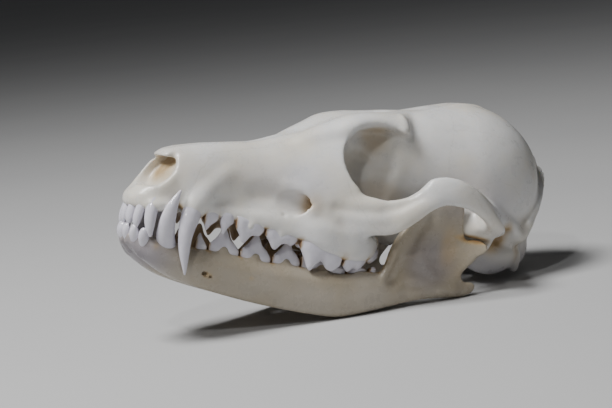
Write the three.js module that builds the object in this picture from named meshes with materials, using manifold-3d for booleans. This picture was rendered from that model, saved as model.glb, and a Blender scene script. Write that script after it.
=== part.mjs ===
// A red fox skull with its lower jaw closed, every tooth a piece of its own.
// Millimetres. Tables are in the skull's own frame: x rearwards from the front teeth, y to the
// side, z up from the upper gum line. The skull is then tipped nose up onto the two places
// where the lower jaw touches the ground.
import * as THREE from "three";
import { mergeVertices } from "three/addons/utils/BufferGeometryUtils.js";
import Module from "manifold-3d";

const wasm = await Module();
wasm.setup();

// Driving dimensions
const GAP = 0.3; // between a tooth and its socket, and between the two jaw halves
const REST_FRONT = [71, -24.75]; // x, z of the jaw's lower edge where it touches the ground
const REST_REAR = [107, -13.3]; // x, z of the jaw's angle where it touches the ground
const NOSE_UP = Math.atan2(REST_REAR[1] - REST_FRONT[1], REST_REAR[0] - REST_FRONT[0]);
const ZYGOMATIC_HALF_WIDTH = 37; // middle of the cheek arch at its widest
const BRAINCASE_HALF_WIDTH = 24.4;
const MUZZLE_HALF_WIDTH = 11.2;
const CONDYLE_Y = 25.4; // middle of the jaw joint

const BONE = new THREE.MeshStandardMaterial({ color: "#ddd9cf", roughness: 0.5, metalness: 0 });
const JAW_BONE = new THREE.MeshStandardMaterial({ color: "#d8cdb8", roughness: 0.5, metalness: 0 });
const ENAMEL = new THREE.MeshStandardMaterial({ color: "#dcdad6", roughness: 0.25, metalness: 0 });

// Shape helpers

// A closed body whose rings are placed by a function of the ring number and the angle.
function skin(rings, around, ringPoint, centrePoint) {
  const tube = new THREE.CylinderGeometry(1, 1, 1, around, rings - 1);
  const position = tube.attributes.position;
  const point = new THREE.Vector3();
  for (let i = 0; i < position.count; i++) {
    point.fromBufferAttribute(position, i);
    const ring = Math.round((0.5 - point.y) * (rings - 1));
    const onAxis = Math.hypot(point.x, point.z) < 0.5;
    const angle = Math.atan2(point.x, point.z);
    const place = onAxis ? centrePoint(ring) : ringPoint(ring, angle);
    position.setXYZ(i, place.x, place.y, place.z);
  }
  return weld(tube);
}

function weld(geometry) {
  geometry.deleteAttribute("normal");
  geometry.deleteAttribute("uv");
  return mergeVertices(geometry, 1e-4);
}

// The number a, raised to a power, with its sign kept.
function signedPower(a, power) {
  return Math.sign(a) * Math.abs(a) ** power;
}

// Rows of a table, read smoothly between its lines by the first column.
function smoothRows(table, rings) {
  const width = table[0].length;
  const keys = table.map((row) => row[0]);
  const curve = new THREE.CubicInterpolant(keys, table.flat(), width);
  const first = keys[0];
  const last = keys[keys.length - 1];
  return Array.from({ length: rings }, (_, i) => [
    ...curve.evaluate(first + ((last - first) * i) / (rings - 1)),
  ]);
}

// A body along x. Columns: x, y of the middle, top, bottom, half width, z where it is widest,
// and how square the upper and the lower half are (2 is an ellipse, more is squarer).
function loft(table, rings, around, turn = 0) {
  const rows = smoothRows(table, rings);
  const ringPoint = (ring, angle) => {
    const [x, y, top, bottom, half, level, upper, lower] = rows[ring];
    const c = Math.cos(angle + turn);
    const s = Math.sin(angle + turn);
    const power = 2 / (s >= 0 ? upper : lower);
    const reach = s >= 0 ? top - level : level - bottom;
    return new THREE.Vector3(
      x,
      y - half * signedPower(c, power),
      level + reach * signedPower(s, power),
    );
  };
  const centrePoint = (ring) => new THREE.Vector3(rows[ring][0], rows[ring][1], rows[ring][5]);
  return skin(rings, around, ringPoint, centrePoint);
}

// A body along a curved path. Columns: x, y, z, half height and half thickness. Its height
// points the way that outwards gives for a place on the path.
function sweep(table, rings, around, outwards, grow = 0) {
  const path = new THREE.CatmullRomCurve3(table.map(([x, y, z]) => new THREE.Vector3(x, y, z)));
  const sizes = smoothRows(table.map((row, i) => [i, row[3], row[4]]), rings);
  const frames = sizes.map(([key, height, thickness], i) => {
    const t = key / (table.length - 1);
    const place = path.getPoint(t);
    const along = path.getTangent(t);
    const side = new THREE.Vector3().crossVectors(along, outwards(place)).normalize();
    const up = new THREE.Vector3().crossVectors(side, along).normalize();
    const end = i === 0 ? -grow : i === rings - 1 ? grow : 0;
    place.addScaledVector(along, end);
    return { place, side, up, height: height + grow, thickness: thickness + grow };
  });
  const ringPoint = (ring, angle) => {
    const { place, side, up, height, thickness } = frames[ring];
    return place
      .clone()
      .addScaledVector(side, thickness * Math.cos(angle))
      .addScaledVector(up, height * Math.sin(angle));
  };
  return skin(rings, around, ringPoint, (ring) => frames[ring].place);
}

const upwards = () => new THREE.Vector3(0, 0, 1);
const rearwards = () => new THREE.Vector3(1, 0, 0);
const sideways = () => new THREE.Vector3(0, 1, 0);
const fromBrain = (place) => place.clone().sub(new THREE.Vector3(122, 0, 24));

// An ellipsoid: middle, radii, sides, then turns in degrees about y and z.
function lump(middle, radii, around, turnY = 0, turnZ = 0) {
  const ball = new THREE.SphereGeometry(1, around, Math.round(around * 0.6));
  ball.scale(...radii);
  ball.rotateY(THREE.MathUtils.degToRad(turnY));
  ball.rotateZ(THREE.MathUtils.degToRad(turnZ));
  ball.translate(...middle);
  return weld(ball);
}

// A body's mirror image on the other side of the midline, its faces still pointing out.
function mirrored(geometry) {
  const copy = geometry.clone();
  copy.scale(1, -1, 1);
  const index = copy.index;
  for (let i = 0; i < index.count; i += 3) {
    const second = index.getX(i + 1);
    index.setX(i + 1, index.getX(i + 2));
    index.setX(i + 2, second);
  }
  return copy;
}

const bothSides = (geometries) => geometries.flatMap((g) => [g, mirrored(g)]);

function solid(geometry) {
  const mesh = new wasm.Mesh({
    numProp: 3,
    vertProperties: geometry.attributes.position.array,
    triVerts: new Uint32Array(geometry.index.array),
  });
  return new wasm.Manifold(mesh);
}

function join(geometries) {
  return geometries.map(solid).reduce((whole, part) => whole.add(part));
}

function cut(body, geometries) {
  return geometries.map(solid).reduce((left, part) => left.subtract(part), body);
}

function geometryOf(manifold) {
  const { vertProperties, triVerts } = manifold.getMesh();
  const geometry = new THREE.BufferGeometry();
  geometry.setAttribute("position", new THREE.BufferAttribute(vertProperties, 3));
  geometry.setIndex(new THREE.BufferAttribute(triVerts, 1));
  return geometry;
}

// Cranium

// Muzzle and face, from the front teeth to the front wall of the eye sockets
const FACE = [
  [-0.8, 0, 3.6, 0.4, 4.4, 1.8, 2.2, 2.2],
  [0.8, 0, 6.6, 0.4, 6.4, 2.4, 2.2, 2.6],
  [2.8, 0, 9.6, 0.7, 7.6, 3.2, 2.4, 3],
  [5.4, 0, 13.4, 1.1, 8.6, 4.2, 2.5, 3],
  [8.6, 0, 17.8, 1.5, 9.0, 5.0, 2.5, 3],
  [12, 0, 20.0, 1.8, 9.0, 5.4, 2.4, 3],
  [16.5, 0, 21.4, 2.0, MUZZLE_HALF_WIDTH, 5.0, 2.2, 3],
  [22, 0, 22.8, 2.0, MUZZLE_HALF_WIDTH + 0.2, 5.0, 2.15, 3],
  [28, 0, 24.0, 2.0, MUZZLE_HALF_WIDTH, 4.6, 2.15, 3],
  [34, 0, 25.1, 1.8, MUZZLE_HALF_WIDTH + 0.7, 4.2, 2.2, 3],
  [40, 0, 26.3, 1.5, 13.0, 4.0, 2.2, 3],
  [46, 0, 28.5, 1.0, 14.8, 3.8, 2.2, 3],
  [52, 0, 31.1, 0.6, 17.0, 3.6, 2.2, 3],
  [58, 0, 33.7, 0, 19.3, 4.4, 2.3, 3],
  [63, 0, 35.9, -0.6, 21.2, 6.0, 2.3, 3],
  [69, 0, 38.3, -1.2, 23.2, 8.0, 2.3, 3],
];

// Bone that carries the upper cheek teeth, one side
const TOOTH_RIDGE = [
  [20, 9.4, 5.0, 0.8, 2.6, 3.2, 2.4, 3.6],
  [32, 10.1, 5.0, 0, 2.5, 2.6, 2.4, 3.6],
  [42, 12.3, 5.0, -0.9, 2.7, 2.0, 2.4, 3.6],
  [52, 15.0, 5.0, -2.2, 3.0, 1.2, 2.4, 3.6],
  [57, 16.6, 5.4, -3.8, 3.9, 0.6, 2.4, 3.6],
  [66, 17.6, 5.4, -5.5, 4.7, 0, 2.4, 3.6],
  [73, 16.9, 3.6, -5.7, 5.9, -0.8, 2.4, 3.4],
  [79, 15.6, 2.8, -4.6, 4.4, -0.8, 2.4, 3],
  [83.5, 13.0, 2.4, -2.0, 2.0, 0.2, 2, 2],
];

// Wall between the eye sockets, then the braincase back to the occiput
const BRAINCASE = [
  [60, 0, 33.6, 0, 9.2, 17, 2.6, 3.5],
  [70, 0, 37.8, -1, 8.8, 19, 2.6, 3.5],
  [78, 0, 40.4, 2, 8.4, 23, 2.6, 3],
  [85, 0, 42.6, 5, 8.8, 28, 2.5, 2.4],
  [91, 0, 44.2, 6.6, 10.2, 31, 2.3, 2.2],
  [96, 0, 45.6, 7, 12.4, 31, 2.2, 2],
  [101, 0, 47.1, 7, 16.4, 30, 2.15, 2],
  [107, 0, 49.0, 7, 21.2, 28.5, 2.1, 2.1],
  [114, 0, 50.7, 7, BRAINCASE_HALF_WIDTH - 0.4, 26.5, 2.05, 2.2],
  [121, 0, 51.1, 7, BRAINCASE_HALF_WIDTH, 25, 2.05, 2.3],
  [128, 0, 49.9, 7, BRAINCASE_HALF_WIDTH - 0.8, 24, 2.05, 2.4],
  [134, 0, 47.4, 6.8, 21.8, 23, 2.05, 2.4],
  [139, 0, 44.3, 6.6, 19.2, 21.5, 2.0, 2.4],
  [143, 0, 40.8, 6.8, 15.4, 20, 2.0, 2.4],
  [146, 0, 37.2, 8.4, 11.4, 20, 2.0, 2.2],
  [148.4, 0, 33.6, 12, 7.0, 20, 2.0, 2.2],
];

// Roof of the frontal bones with the rims over the eyes and the postorbital points
const BROW = [
  [47, 0, 27.6, 22.0, 7.0, 24.6, 2.4, 2],
  [52, 0, 31.0, 24.6, 9.4, 27.0, 2.7, 1.6],
  [58, 0, 34.5, 27.2, 11.6, 29.4, 3, 1.5],
  [63, 0, 37.0, 29.6, 13.4, 31.8, 3, 1.4],
  [68, 0, 39.3, 32.2, 14.9, 34.6, 3, 1.35],
  [73, 0, 40.9, 34.6, 14.4, 36.6, 3, 1.3],
  [78, 0, 42.0, 35.8, 14.7, 37.8, 2.9, 1.3],
  [82.5, 0, 43.2, 35.4, 16.0, 37.6, 2.6, 1.3],
  [86, 0, 44.1, 34.6, 17.6, 36.4, 2.3, 1.3],
  [88, 0, 44.6, 34.8, 15.6, 37.0, 2.3, 1.4],
  [91, 0, 45.1, 36.4, 12.4, 38.4, 2.3, 1.6],
  [99, 0, 46.6, 39.6, 9.0, 41.4, 2.1, 2],
];

// Palatine and pterygoid walls behind the palate, before the airway is cut out
const THROAT_WALLS = [
  [66, 0, 10, -1.4, 13.4, 3, 3, 4],
  [73, 0, 11, -2.6, 11.6, 3.4, 3, 4],
  [78, 0, 12, -2.9, 7.8, 5, 3, 4],
  [86, 0, 14, -1.8, 7.0, 6, 3, 4],
  [95, 0, 14, -0.6, 7.0, 7, 3, 4],
  [102, 0, 13, -0.4, 7.2, 7, 3, 4],
  [104.5, 0, 12, 3.4, 6.8, 8, 3, 3],
];

// Cheek arch: jugal bone, then the temporal bone's bar down to the jaw joint
const ARCH = [
  [60, 14.4, 8.0, 5.4, 2.6],
  [66, 18.8, 8.2, 7.4, 3.4],
  [73, 23.8, 8.4, 6.4, 2.7],
  [78.5, 26.8, 9.0, 5.9, 2.2],
  [83, 29.6, 12.4, 5.0, 2.0],
  [87, 32.2, 17.0, 4.9, 1.9],
  [91, 34.6, 19.9, 4.7, 1.8],
  [96, 36.4, 20.4, 4.0, 1.8],
  [101.5, ZYGOMATIC_HALF_WIDTH, 18.9, 3.3, 1.9],
  [107, ZYGOMATIC_HALF_WIDTH - 0.3, 16.1, 2.8, 2.0],
  [111.8, 35.2, 13.2, 2.4, 2.4],
  [115.6, 31.6, 11.0, 2.2, 3.6],
  [117, 26.8, 10.6, 2.4, 5.0],
  [117.6, 20.6, 12, 3.6, 5.4],
];

// Ridge that frames the back of the braincase, from the midline down to the ear
const NUCHAL_CREST = [
  [147.0, -1.4, 34.4, 3.6, 1.6],
  [145.8, 5.4, 32.6, 3.4, 1.4],
  [144.2, 9.4, 29.8, 3.2, 1.4],
  [142.0, 12.8, 25.6, 3.0, 1.4],
  [139.6, 15.8, 21.2, 2.8, 1.4],
  [137.4, 18.2, 16.4, 2.8, 1.5],
  [135.8, 19.4, 11.4, 2.8, 1.8],
  [134.4, 19.4, 7.0, 2.6, 2.2],
];

// Low ridge along the top of the braincase
const SAGITTAL_CREST = [
  [104, 0, 46.6, 1.0, 2.0],
  [116, 0, 50.3, 1.0, 1.6],
  [130, 0, 48.6, 1.3, 1.3],
  [141, 0, 41.8, 2.0, 1.4],
  [149.2, 0, 35.8, 2.4, 2.0],
];

// Points behind the ear bulge and behind the jaw joint
const PAROCCIPITAL = [
  [135.5, 15.4, 10, 3.2, 2.6],
  [137.0, 15.0, 4, 2.6, 2.0],
  [138.2, 14.4, -2.2, 1.5, 1.3],
];

const POSTGLENOID = [
  [117.8, 25.4, 10.6, 4.6, 1.8],
  [118.2, 25.0, 5.4, 4.0, 1.3],
  [118.0, 24.4, 0.6, 2.2, 0.9],
];

// Rounded forms, each as middle, radii, sides and turns in degrees about y and z
const CANINE_BULGE = [[20.0, 8.8, 4.4], [4.9, 4.5, 8.4], 10, 34, 0];
const EAR_BULLA = [[126.4, 13.4, 4.2], [10.6, 7.6, 8.6], 10, 0, 14];
const MASTOID = [[133.0, 19.4, 8.6], [5.4, 3.6, 6.0], 6, 0, 0];
const OCCIPITAL_CONDYLE = [[140.6, 8.4, 7.0], [4.8, 4.7, 7.4], 8, -8, 0];
const JOINT_ROOF = [[112.8, 26.0, 10.2], [6.8, 8.4, 2.9], 8, 0, 0];
const ORBIT = [[80.0, 25.5, 26.4], [20.2, 15.4, 12.0], 14, 0, 0];
const EAR_OPENING = [[122.6, 21.8, 8.8], [2.8, 3.6, 2.6], 6, 0, 0];
const JAW_CONDYLE = [[111.2, CONDYLE_Y, 4.1], [2.3, 7.0, 2.4], 8, 0, -6];
const MASSETER_HOLLOW = [[98, 36.4, 2], [20, 12.2, 24], 14, 0, 0];

// What is hollowed out of the cranium
const NOSE_CAVITY = [
  [-5, 0, 14.4, 7.2, 5.6, 10.6, 2, 2.2],
  [4, 0, 15.4, 6.6, 6.4, 11, 2, 2.2],
  [9, 0, 16.6, 6.2, 6.9, 11, 2.2, 2.2],
  [14, 0, 18.4, 6.2, 6.8, 11.5, 2.2, 2.2],
  [21, 0, 18.6, 6.3, 6.2, 11.8, 2, 2],
];

const INFRAORBITAL_CANAL = [
  [45.5, 19.6, 8.8, 2.8, 1.6],
  [51.5, 16.4, 9.0, 3.0, 1.8],
  [58, 15.6, 8.8, 2.8, 1.8],
  [66, 17.0, 8.2, 2.8, 2.0],
  [74, 18.6, 8.4, 3.4, 2.4],
];

const AIRWAY = [
  [77.5, 0, 8.2, -8, 4.6, 0, 3, 4],
  [84, 0, 9.0, -8, 5.0, 0, 3, 4],
  [96, 0, 8.4, -8, 5.2, 0, 3, 4],
  [108, 0, 6.8, -8, 5.4, 0, 3, 4],
];

const FORAMEN_MAGNUM = [
  [132, 0, 19, 11.5, 5.0, 15, 2, 2],
  [140, 0, 21, 9.4, 6.8, 15, 2, 2],
  [152, 0, 23, 7.4, 7.6, 15, 2, 2],
];

// Side views of what is cut from the front of the muzzle: the slanting nose opening below the
// nasal bones, and the notch beside them.
const NOSE_OPENING = [[-6, 5.8], [3.6, 5.8], [12.2, 16.8], [-6, 16.8]];
const NASAL_NOTCH = [[-6, 15], [11.6, 15], [14.6, 18.8], [14.6, 24], [-6, 24]];
const NASAL_HALF_WIDTH = 4.8;

// A prism along y between two distances from the midline
function prism(sideView, from, to) {
  const outline = new THREE.Shape(sideView.map(([x, z]) => new THREE.Vector2(x, z)));
  const body = new THREE.ExtrudeGeometry(outline, { depth: to - from, bevelEnabled: false });
  return weld(body.rotateX(Math.PI / 2).translate(0, to, 0));
}

function craniumParts() {
  const middle = [
    loft(FACE, 13, 16),
    loft(BRAINCASE, 14, 18),
    loft(BROW, 9, 10),
    loft(THROAT_WALLS, 6, 8),
    sweep(SAGITTAL_CREST, 5, 4, upwards),
  ];
  const sides = bothSides([
    loft(TOOTH_RIDGE, 9, 8),
    sweep(ARCH, 13, 8, upwards),
    sweep(NUCHAL_CREST, 7, 4, fromBrain),
    sweep(PAROCCIPITAL, 4, 6, rearwards),
    sweep(POSTGLENOID, 4, 6, sideways),
    lump(...CANINE_BULGE),
    lump(...EAR_BULLA),
    lump(...MASTOID),
    lump(...OCCIPITAL_CONDYLE),
    lump(...JOINT_ROOF),
  ]);
  return [...middle, ...sides];
}

function craniumHollows() {
  const middle = [
    loft(NOSE_CAVITY, 4, 10),
    loft(AIRWAY, 4, 8),
    loft(FORAMEN_MAGNUM, 2, 10),
    prism(NOSE_OPENING, -12, 12),
  ];
  const sides = bothSides([
    lump(...ORBIT),
    prism(NASAL_NOTCH, NASAL_HALF_WIDTH, 12),
    sweep(INFRAORBITAL_CANAL, 4, 6, upwards),
    lump(...EAR_OPENING),
  ]);
  return [...middle, ...sides];
}

// Lower jaw, one half

const JAW_BODY = [
  [0.8, 1.6, -9.2, -11.2, 1.5, -10.2, 2, 2],
  [3.6, 2.8, -9.0, -13.2, 3.0, -11, 2.6, 2],
  [7, 4.0, -8.8, -15.9, 4.3, -12, 2.6, 2],
  [11, 4.9, -8.6, -18.2, 5.2, -12.6, 2.6, 2.1],
  [16, 5.7, -9.2, -20.2, 5.0, -14, 2.4, 2.2],
  [21, 6.8, -9.8, -21.4, 4.2, -15, 2.4, 2.2],
  [26, 8.2, -9.8, -22.3, 3.6, -15.6, 2.4, 2.3],
  [34, 9.6, -10.1, -23.4, 3.4, -16.4, 2.4, 2.3],
  [44, 11.3, -10.8, -24.4, 3.5, -17.4, 2.4, 2.3],
  [54, 13.3, -10.6, -25.0, 3.7, -17.4, 2.4, 2.3],
  [64, 15.6, -11.0, -25.2, 4.0, -17.4, 2.4, 2.3],
  [71, 17.3, -10.8, -24.9, 4.0, -16.8, 2.4, 2.2],
  [78, 19.2, -9.0, -22.6, 3.6, -15.2, 2.2, 2.2],
  [86, 20.9, -9.0, -19.6, 2.5, -14.0, 2, 2],
  [95, 22.3, -10.4, -16.2, 1.2, -13.0, 2, 2],
];

// Side view of the upright branch: coronoid point, neck of the joint, hooked angle
const BRANCH_OUTLINE = [
  [81, -11.4],
  [83.4, -6.6],
  [84.8, 0.4],
  [87.8, 7.4],
  [91.4, 14.2],
  [95.2, 19.4],
  [99.4, 22.6],
  [103.2, 21.6],
  [105.2, 17],
  [105.8, 11],
  [107.4, 6.6],
  [110, 4.6],
  [112.4, 2.6],
  [111.8, -0.8],
  [109.2, -4],
  [108.8, -6.2],
  [110.6, -7.6],
  [113.4, -7.2],
  [114.9, -8.6],
  [113.8, -10.8],
  [111, -12.5],
  [107, -13.3],
  [101, -14.4],
  [95, -15.9],
  [88, -18.2],
  [80, -19],
];

// Ledge along the inside of the hooked angle
const ANGLE_LEDGE = [
  [102, 23.8, -12.0, 1.7, 2.3],
  [109, 25.2, -10.8, 1.8, 2.2],
  [114.4, 26.0, -9.0, 1.2, 1.4],
];

const BRANCH_THICKNESS = 3.4;
const BRANCH_EDGE = 0.6; // bevel all round it
const CHIN_CUT = 40; // size of the block that trims the chin to the midline

// The branch leans outwards to the rear and upwards.
const branchY = (x, z) => 19.8 + 0.18 * (x - 80) + 0.06 * (z + 10);

function branch() {
  const outline = new THREE.Shape(BRANCH_OUTLINE.map(([x, z]) => new THREE.Vector2(x, z)));
  const plate = new THREE.ExtrudeGeometry(outline, {
    depth: BRANCH_THICKNESS - 2 * BRANCH_EDGE,
    bevelThickness: BRANCH_EDGE,
    bevelSize: BRANCH_EDGE,
    bevelOffset: -BRANCH_EDGE,
    bevelSegments: 1,
  });
  plate.translate(0, 0, BRANCH_EDGE - BRANCH_THICKNESS / 2);
  const position = plate.attributes.position;
  for (let i = 0; i < position.count; i++) {
    const x = position.getX(i);
    const z = position.getY(i);
    // Thinner towards the tip of the coronoid
    const thickness = z > 4 ? Math.max(0.55, 1 - 0.03 * (z - 4)) : 1;
    position.setXYZ(i, x, branchY(x, z) - position.getZ(i) * thickness, z);
  }
  return weld(plate);
}

function jawHalf() {
  const body = join([
    loft(JAW_BODY, 12, 8),
    branch(),
    lump(...JAW_CONDYLE),
    sweep(ANGLE_LEDGE, 4, 6, upwards),
  ]);
  const midline = new THREE.BoxGeometry(CHIN_CUT, CHIN_CUT, CHIN_CUT);
  midline.translate(CHIN_CUT / 4, (GAP - CHIN_CUT) / 2, -CHIN_CUT / 4);
  return cut(body, [weld(midline.toNonIndexed()), lump(...MASSETER_HOLLOW)]);
}

// Teeth. A peg is a sweep from root to tip: x, y, z, half depth along the jaw, half thickness.
const UPPER_PEGS = {
  incisor_1: [
    [3.8, 1.8, 5.4, 1.0, 0.8],
    [1.8, 1.8, 1.8, 1.5, 1.25],
    [0.5, 1.8, -1.4, 1.5, 1.4],
    [0.1, 1.9, -3.8, 1.1, 1.25],
    [0.2, 1.9, -5.3, 0.45, 0.7],
  ],
  incisor_2: [
    [5.2, 4.2, 5.6, 1.1, 0.8],
    [3.3, 4.7, 1.8, 1.7, 1.3],
    [2.0, 4.9, -1.4, 1.6, 1.4],
    [1.5, 5.0, -4.0, 1.2, 1.2],
    [1.6, 5.1, -5.7, 0.45, 0.6],
  ],
  incisor_3: [
    [8.6, 6.6, 7.0, 1.3, 1.0],
    [6.6, 7.3, 2.2, 2.3, 1.6],
    [5.8, 8.0, -2.0, 2.1, 1.6],
    [5.9, 8.5, -5.2, 1.4, 1.2],
    [6.3, 8.7, -7.7, 0.45, 0.45],
  ],
  canine: [
    [23.4, 8.6, 9.4, 1.8, 1.4],
    [20.6, 9.2, 6.0, 2.6, 1.9],
    [18.4, 10.2, 2.2, 3.1, 2.2],
    [16.9, 11.2, -2.4, 2.9, 2.1],
    [16.3, 11.8, -7.0, 2.3, 1.8],
    [16.7, 12.0, -11.5, 1.75, 1.4],
    [17.5, 12.0, -15.4, 1.0, 0.85],
    [18.2, 11.9, -18.5, 0.3, 0.3],
  ],
};

const LOWER_PEGS = {
  incisor_1: [
    [4.6, 1.5, -11.8, 0.7, 0.6],
    [2.6, 1.5, -10.0, 1.0, 0.85],
    [0.9, 1.5, -8.0, 1.2, 1.1],
    [0.4, 1.5, -6.3, 0.6, 0.95],
  ],
  incisor_2: [
    [5.8, 3.5, -12.2, 0.8, 0.6],
    [3.8, 3.6, -10.2, 1.2, 0.9],
    [2.2, 3.9, -8.2, 1.3, 1.05],
    [1.8, 4.0, -6.5, 0.6, 0.85],
  ],
  incisor_3: [
    [7.8, 4.6, -13.2, 1.0, 0.8],
    [6.0, 5.3, -10.6, 1.4, 1.1],
    [4.8, 6.0, -8.2, 1.5, 1.1],
    [4.6, 6.2, -6.5, 0.7, 0.7],
  ],
  canine: [
    [17.4, 6.2, -16.6, 1.9, 1.4],
    [13.6, 7.6, -12.4, 2.7, 1.9],
    [11.2, 8.8, -8.0, 3.0, 2.1],
    [10.4, 9.9, -3.6, 2.6, 1.9],
    [10.6, 10.7, 0.4, 2.1, 1.5],
    [11.5, 11.0, 4.0, 1.2, 1.0],
    [12.8, 11.0, 7.0, 0.3, 0.3],
  ],
};

// Rows of a peg that lie in its socket
const ROOT_ROWS = { incisor_1: 2, incisor_2: 2, incisor_3: 2, canine: 3 };

function pegTooth(name, table) {
  const rootTable = table.slice(0, ROOT_ROWS[name] + 1);
  return {
    name,
    tooth: solid(sweep(table, table.length, 6, rearwards)),
    socket: sweep(rootTable, rootTable.length, 6, rearwards, GAP),
  };
}

// Cheek teeth. from and to are x, y and z of the gum at the front and the rear end. Each
// outline row is a share of the length, the height of the edge above the gum and half the
// thickness. Lobes are low lumps on the tongue side: x, y, z, then three radii.
const UPPER_CHEEK = {
  premolar_1: {
    from: [22.2, 10.6, 0.6],
    to: [26.8, 10.8, 0.4],
    outline: [
      [0, 1.6, 0.8],
      [0.22, 4.4, 1.15],
      [0.55, 2.8, 1.2],
      [1, 1.0, 0.7],
    ],
  },
  premolar_2: {
    from: [33.0, 11.9, -0.2],
    to: [41.4, 12.9, -0.8],
    outline: [
      [0, 1.4, 0.8],
      [0.16, 3.0, 1.4],
      [0.36, 5.6, 1.5],
      [0.58, 3.2, 1.6],
      [0.76, 2.2, 1.5],
      [0.86, 2.3, 1.3],
      [1, 1.0, 0.7],
    ],
  },
  premolar_3: {
    from: [42.8, 13.2, -0.9],
    to: [52.4, 15.3, -2.0],
    outline: [
      [0, 1.4, 0.9],
      [0.18, 3.4, 1.6],
      [0.4, 6.4, 1.7],
      [0.6, 3.6, 1.8],
      [0.72, 2.8, 1.7],
      [0.82, 3.1, 1.5],
      [1, 1.2, 0.8],
    ],
  },
  premolar_4: {
    from: [53.6, 16.6, -2.6],
    to: [67.4, 19.8, -5.4],
    outline: [
      [0, 1.6, 1.0],
      [0.14, 4.6, 2.0],
      [0.32, 8.0, 2.3],
      [0.44, 5.6, 2.3],
      [0.55, 3.9, 2.1],
      [0.68, 4.7, 2.0],
      [0.84, 4.6, 1.8],
      [1, 2.4, 0.9],
    ],
    lobes: [[55.6, 13.6, -3.2, 2.1, 2.3, 1.9]],
  },
  molar_1: {
    from: [68.4, 19.4, -5.6],
    to: [76.8, 19.0, -5.2],
    outline: [
      [0, 2.0, 1.2],
      [0.26, 4.0, 2.1],
      [0.5, 2.6, 2.2],
      [0.72, 3.3, 2.0],
      [1, 1.2, 1.0],
    ],
    lobes: [
      [72.4, 16.0, -5.0, 3.9, 3.4, 1.5],
      [72.8, 13.0, -4.4, 3.0, 2.6, 1.7],
    ],
  },
  molar_2: {
    from: [77.6, 17.8, -4.8],
    to: [82.6, 16.4, -3.6],
    outline: [
      [0, 1.2, 0.9],
      [0.3, 2.2, 1.5],
      [0.7, 1.8, 1.5],
      [1, 0.9, 0.7],
    ],
    lobes: [[79.8, 14.4, -3.8, 2.1, 2.9, 1.3]],
  },
};

// A small fifth premolar that only the left upper row has, behind the first
const EXTRA_PREMOLAR = {
  from: [27.8, 10.9, 0.4],
  to: [31.9, 11.4, 0.2],
  outline: [
    [0, 1.6, 0.7],
    [0.34, 4.8, 1.1],
    [0.66, 2.6, 1.1],
    [1, 1.0, 0.6],
  ],
};

const LOWER_CHEEK = {
  premolar_1: {
    from: [22.0, 7.5, -9.4],
    to: [25.6, 8.2, -9.4],
    outline: [
      [0, 1.6, 0.8],
      [0.3, 4.4, 1.1],
      [0.6, 2.8, 1.1],
      [1, 1.0, 0.7],
    ],
  },
  premolar_2: {
    from: [26.8, 8.2, -9.6],
    to: [34.8, 9.5, -9.8],
    outline: [
      [0, 1.8, 0.8],
      [0.2, 4.0, 1.3],
      [0.42, 6.2, 1.3],
      [0.64, 3.8, 1.4],
      [0.84, 2.4, 1.2],
      [1, 1.0, 0.7],
    ],
  },
  premolar_3: {
    from: [35.8, 9.5, -10.0],
    to: [44.8, 11.0, -10.4],
    outline: [
      [0, 1.8, 0.8],
      [0.2, 4.4, 1.3],
      [0.42, 7.0, 1.35],
      [0.62, 4.2, 1.5],
      [0.8, 2.8, 1.4],
      [1, 1.1, 0.8],
    ],
  },
  premolar_4: {
    from: [45.8, 11.0, -10.4],
    to: [55.4, 12.9, -10.2],
    outline: [
      [0, 1.8, 0.9],
      [0.2, 4.6, 1.4],
      [0.44, 7.4, 1.45],
      [0.6, 5.0, 1.6],
      [0.7, 4.4, 1.5],
      [0.84, 3.2, 1.4],
      [1, 1.2, 0.8],
    ],
  },
  molar_1: {
    from: [56.0, 12.9, -10.2],
    to: [71.4, 15.6, -10.4],
    outline: [
      [0, 2.4, 1.0],
      [0.16, 5.2, 1.5],
      [0.28, 4.2, 1.6],
      [0.42, 6.4, 1.7],
      [0.56, 4.0, 1.9],
      [0.66, 2.6, 2.4],
      [0.88, 2.6, 2.3],
      [1, 1.4, 1.2],
    ],
  },
  molar_2: {
    from: [72.0, 16.0, -10.0],
    to: [78.2, 17.3, -9.0],
    outline: [
      [0, 1.4, 1.2],
      [0.25, 2.6, 2.2],
      [0.6, 2.0, 2.2],
      [1, 1.1, 1.1],
    ],
  },
  molar_3: {
    from: [79.0, 18.2, -8.8],
    to: [81.4, 18.7, -8.2],
    outline: [
      [0, 0.8, 0.8],
      [0.5, 1.2, 1.4],
      [1, 0.8, 0.8],
    ],
  },
};

const ROOT_DEPTH = 2.2; // how far a cheek tooth sits in the bone
const ROOT_CLEARANCE = 1.2; // how far its socket is cut clear below the crown's edge
const CROWN_BULGE = 0.8; // how far from the gum line a crown is at its thickest, at most

// way is 1 for a crown that points up, -1 for one that points down.
function cheekTooth(name, { from, to, outline, lobes = [] }, way) {
  const start = new THREE.Vector3(...from);
  const end = new THREE.Vector3(...to);
  const rows = outline.map(([share, height, half]) => {
    const { x, y, z } = start.clone().lerp(end, share);
    const edge = z + way * height;
    const root = z - way * ROOT_DEPTH;
    const widest = z + way * Math.min(CROWN_BULGE, height / 3);
    return way > 0
      ? [x, y, edge, root, half, widest, 1.45, 3]
      : [x, y, root, edge, half, widest, 3, 1.45];
  });
  const crown = loft(rows, rows.length, 6, Math.PI / 6);
  const lumps = lobes.map(([x, y, z, ...radii]) => lump([x, y, z], radii, 6));
  return { name, tooth: join([crown, ...lumps]), socket: cheekSocket(start, end, outline, way, lumps) };
}

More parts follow.
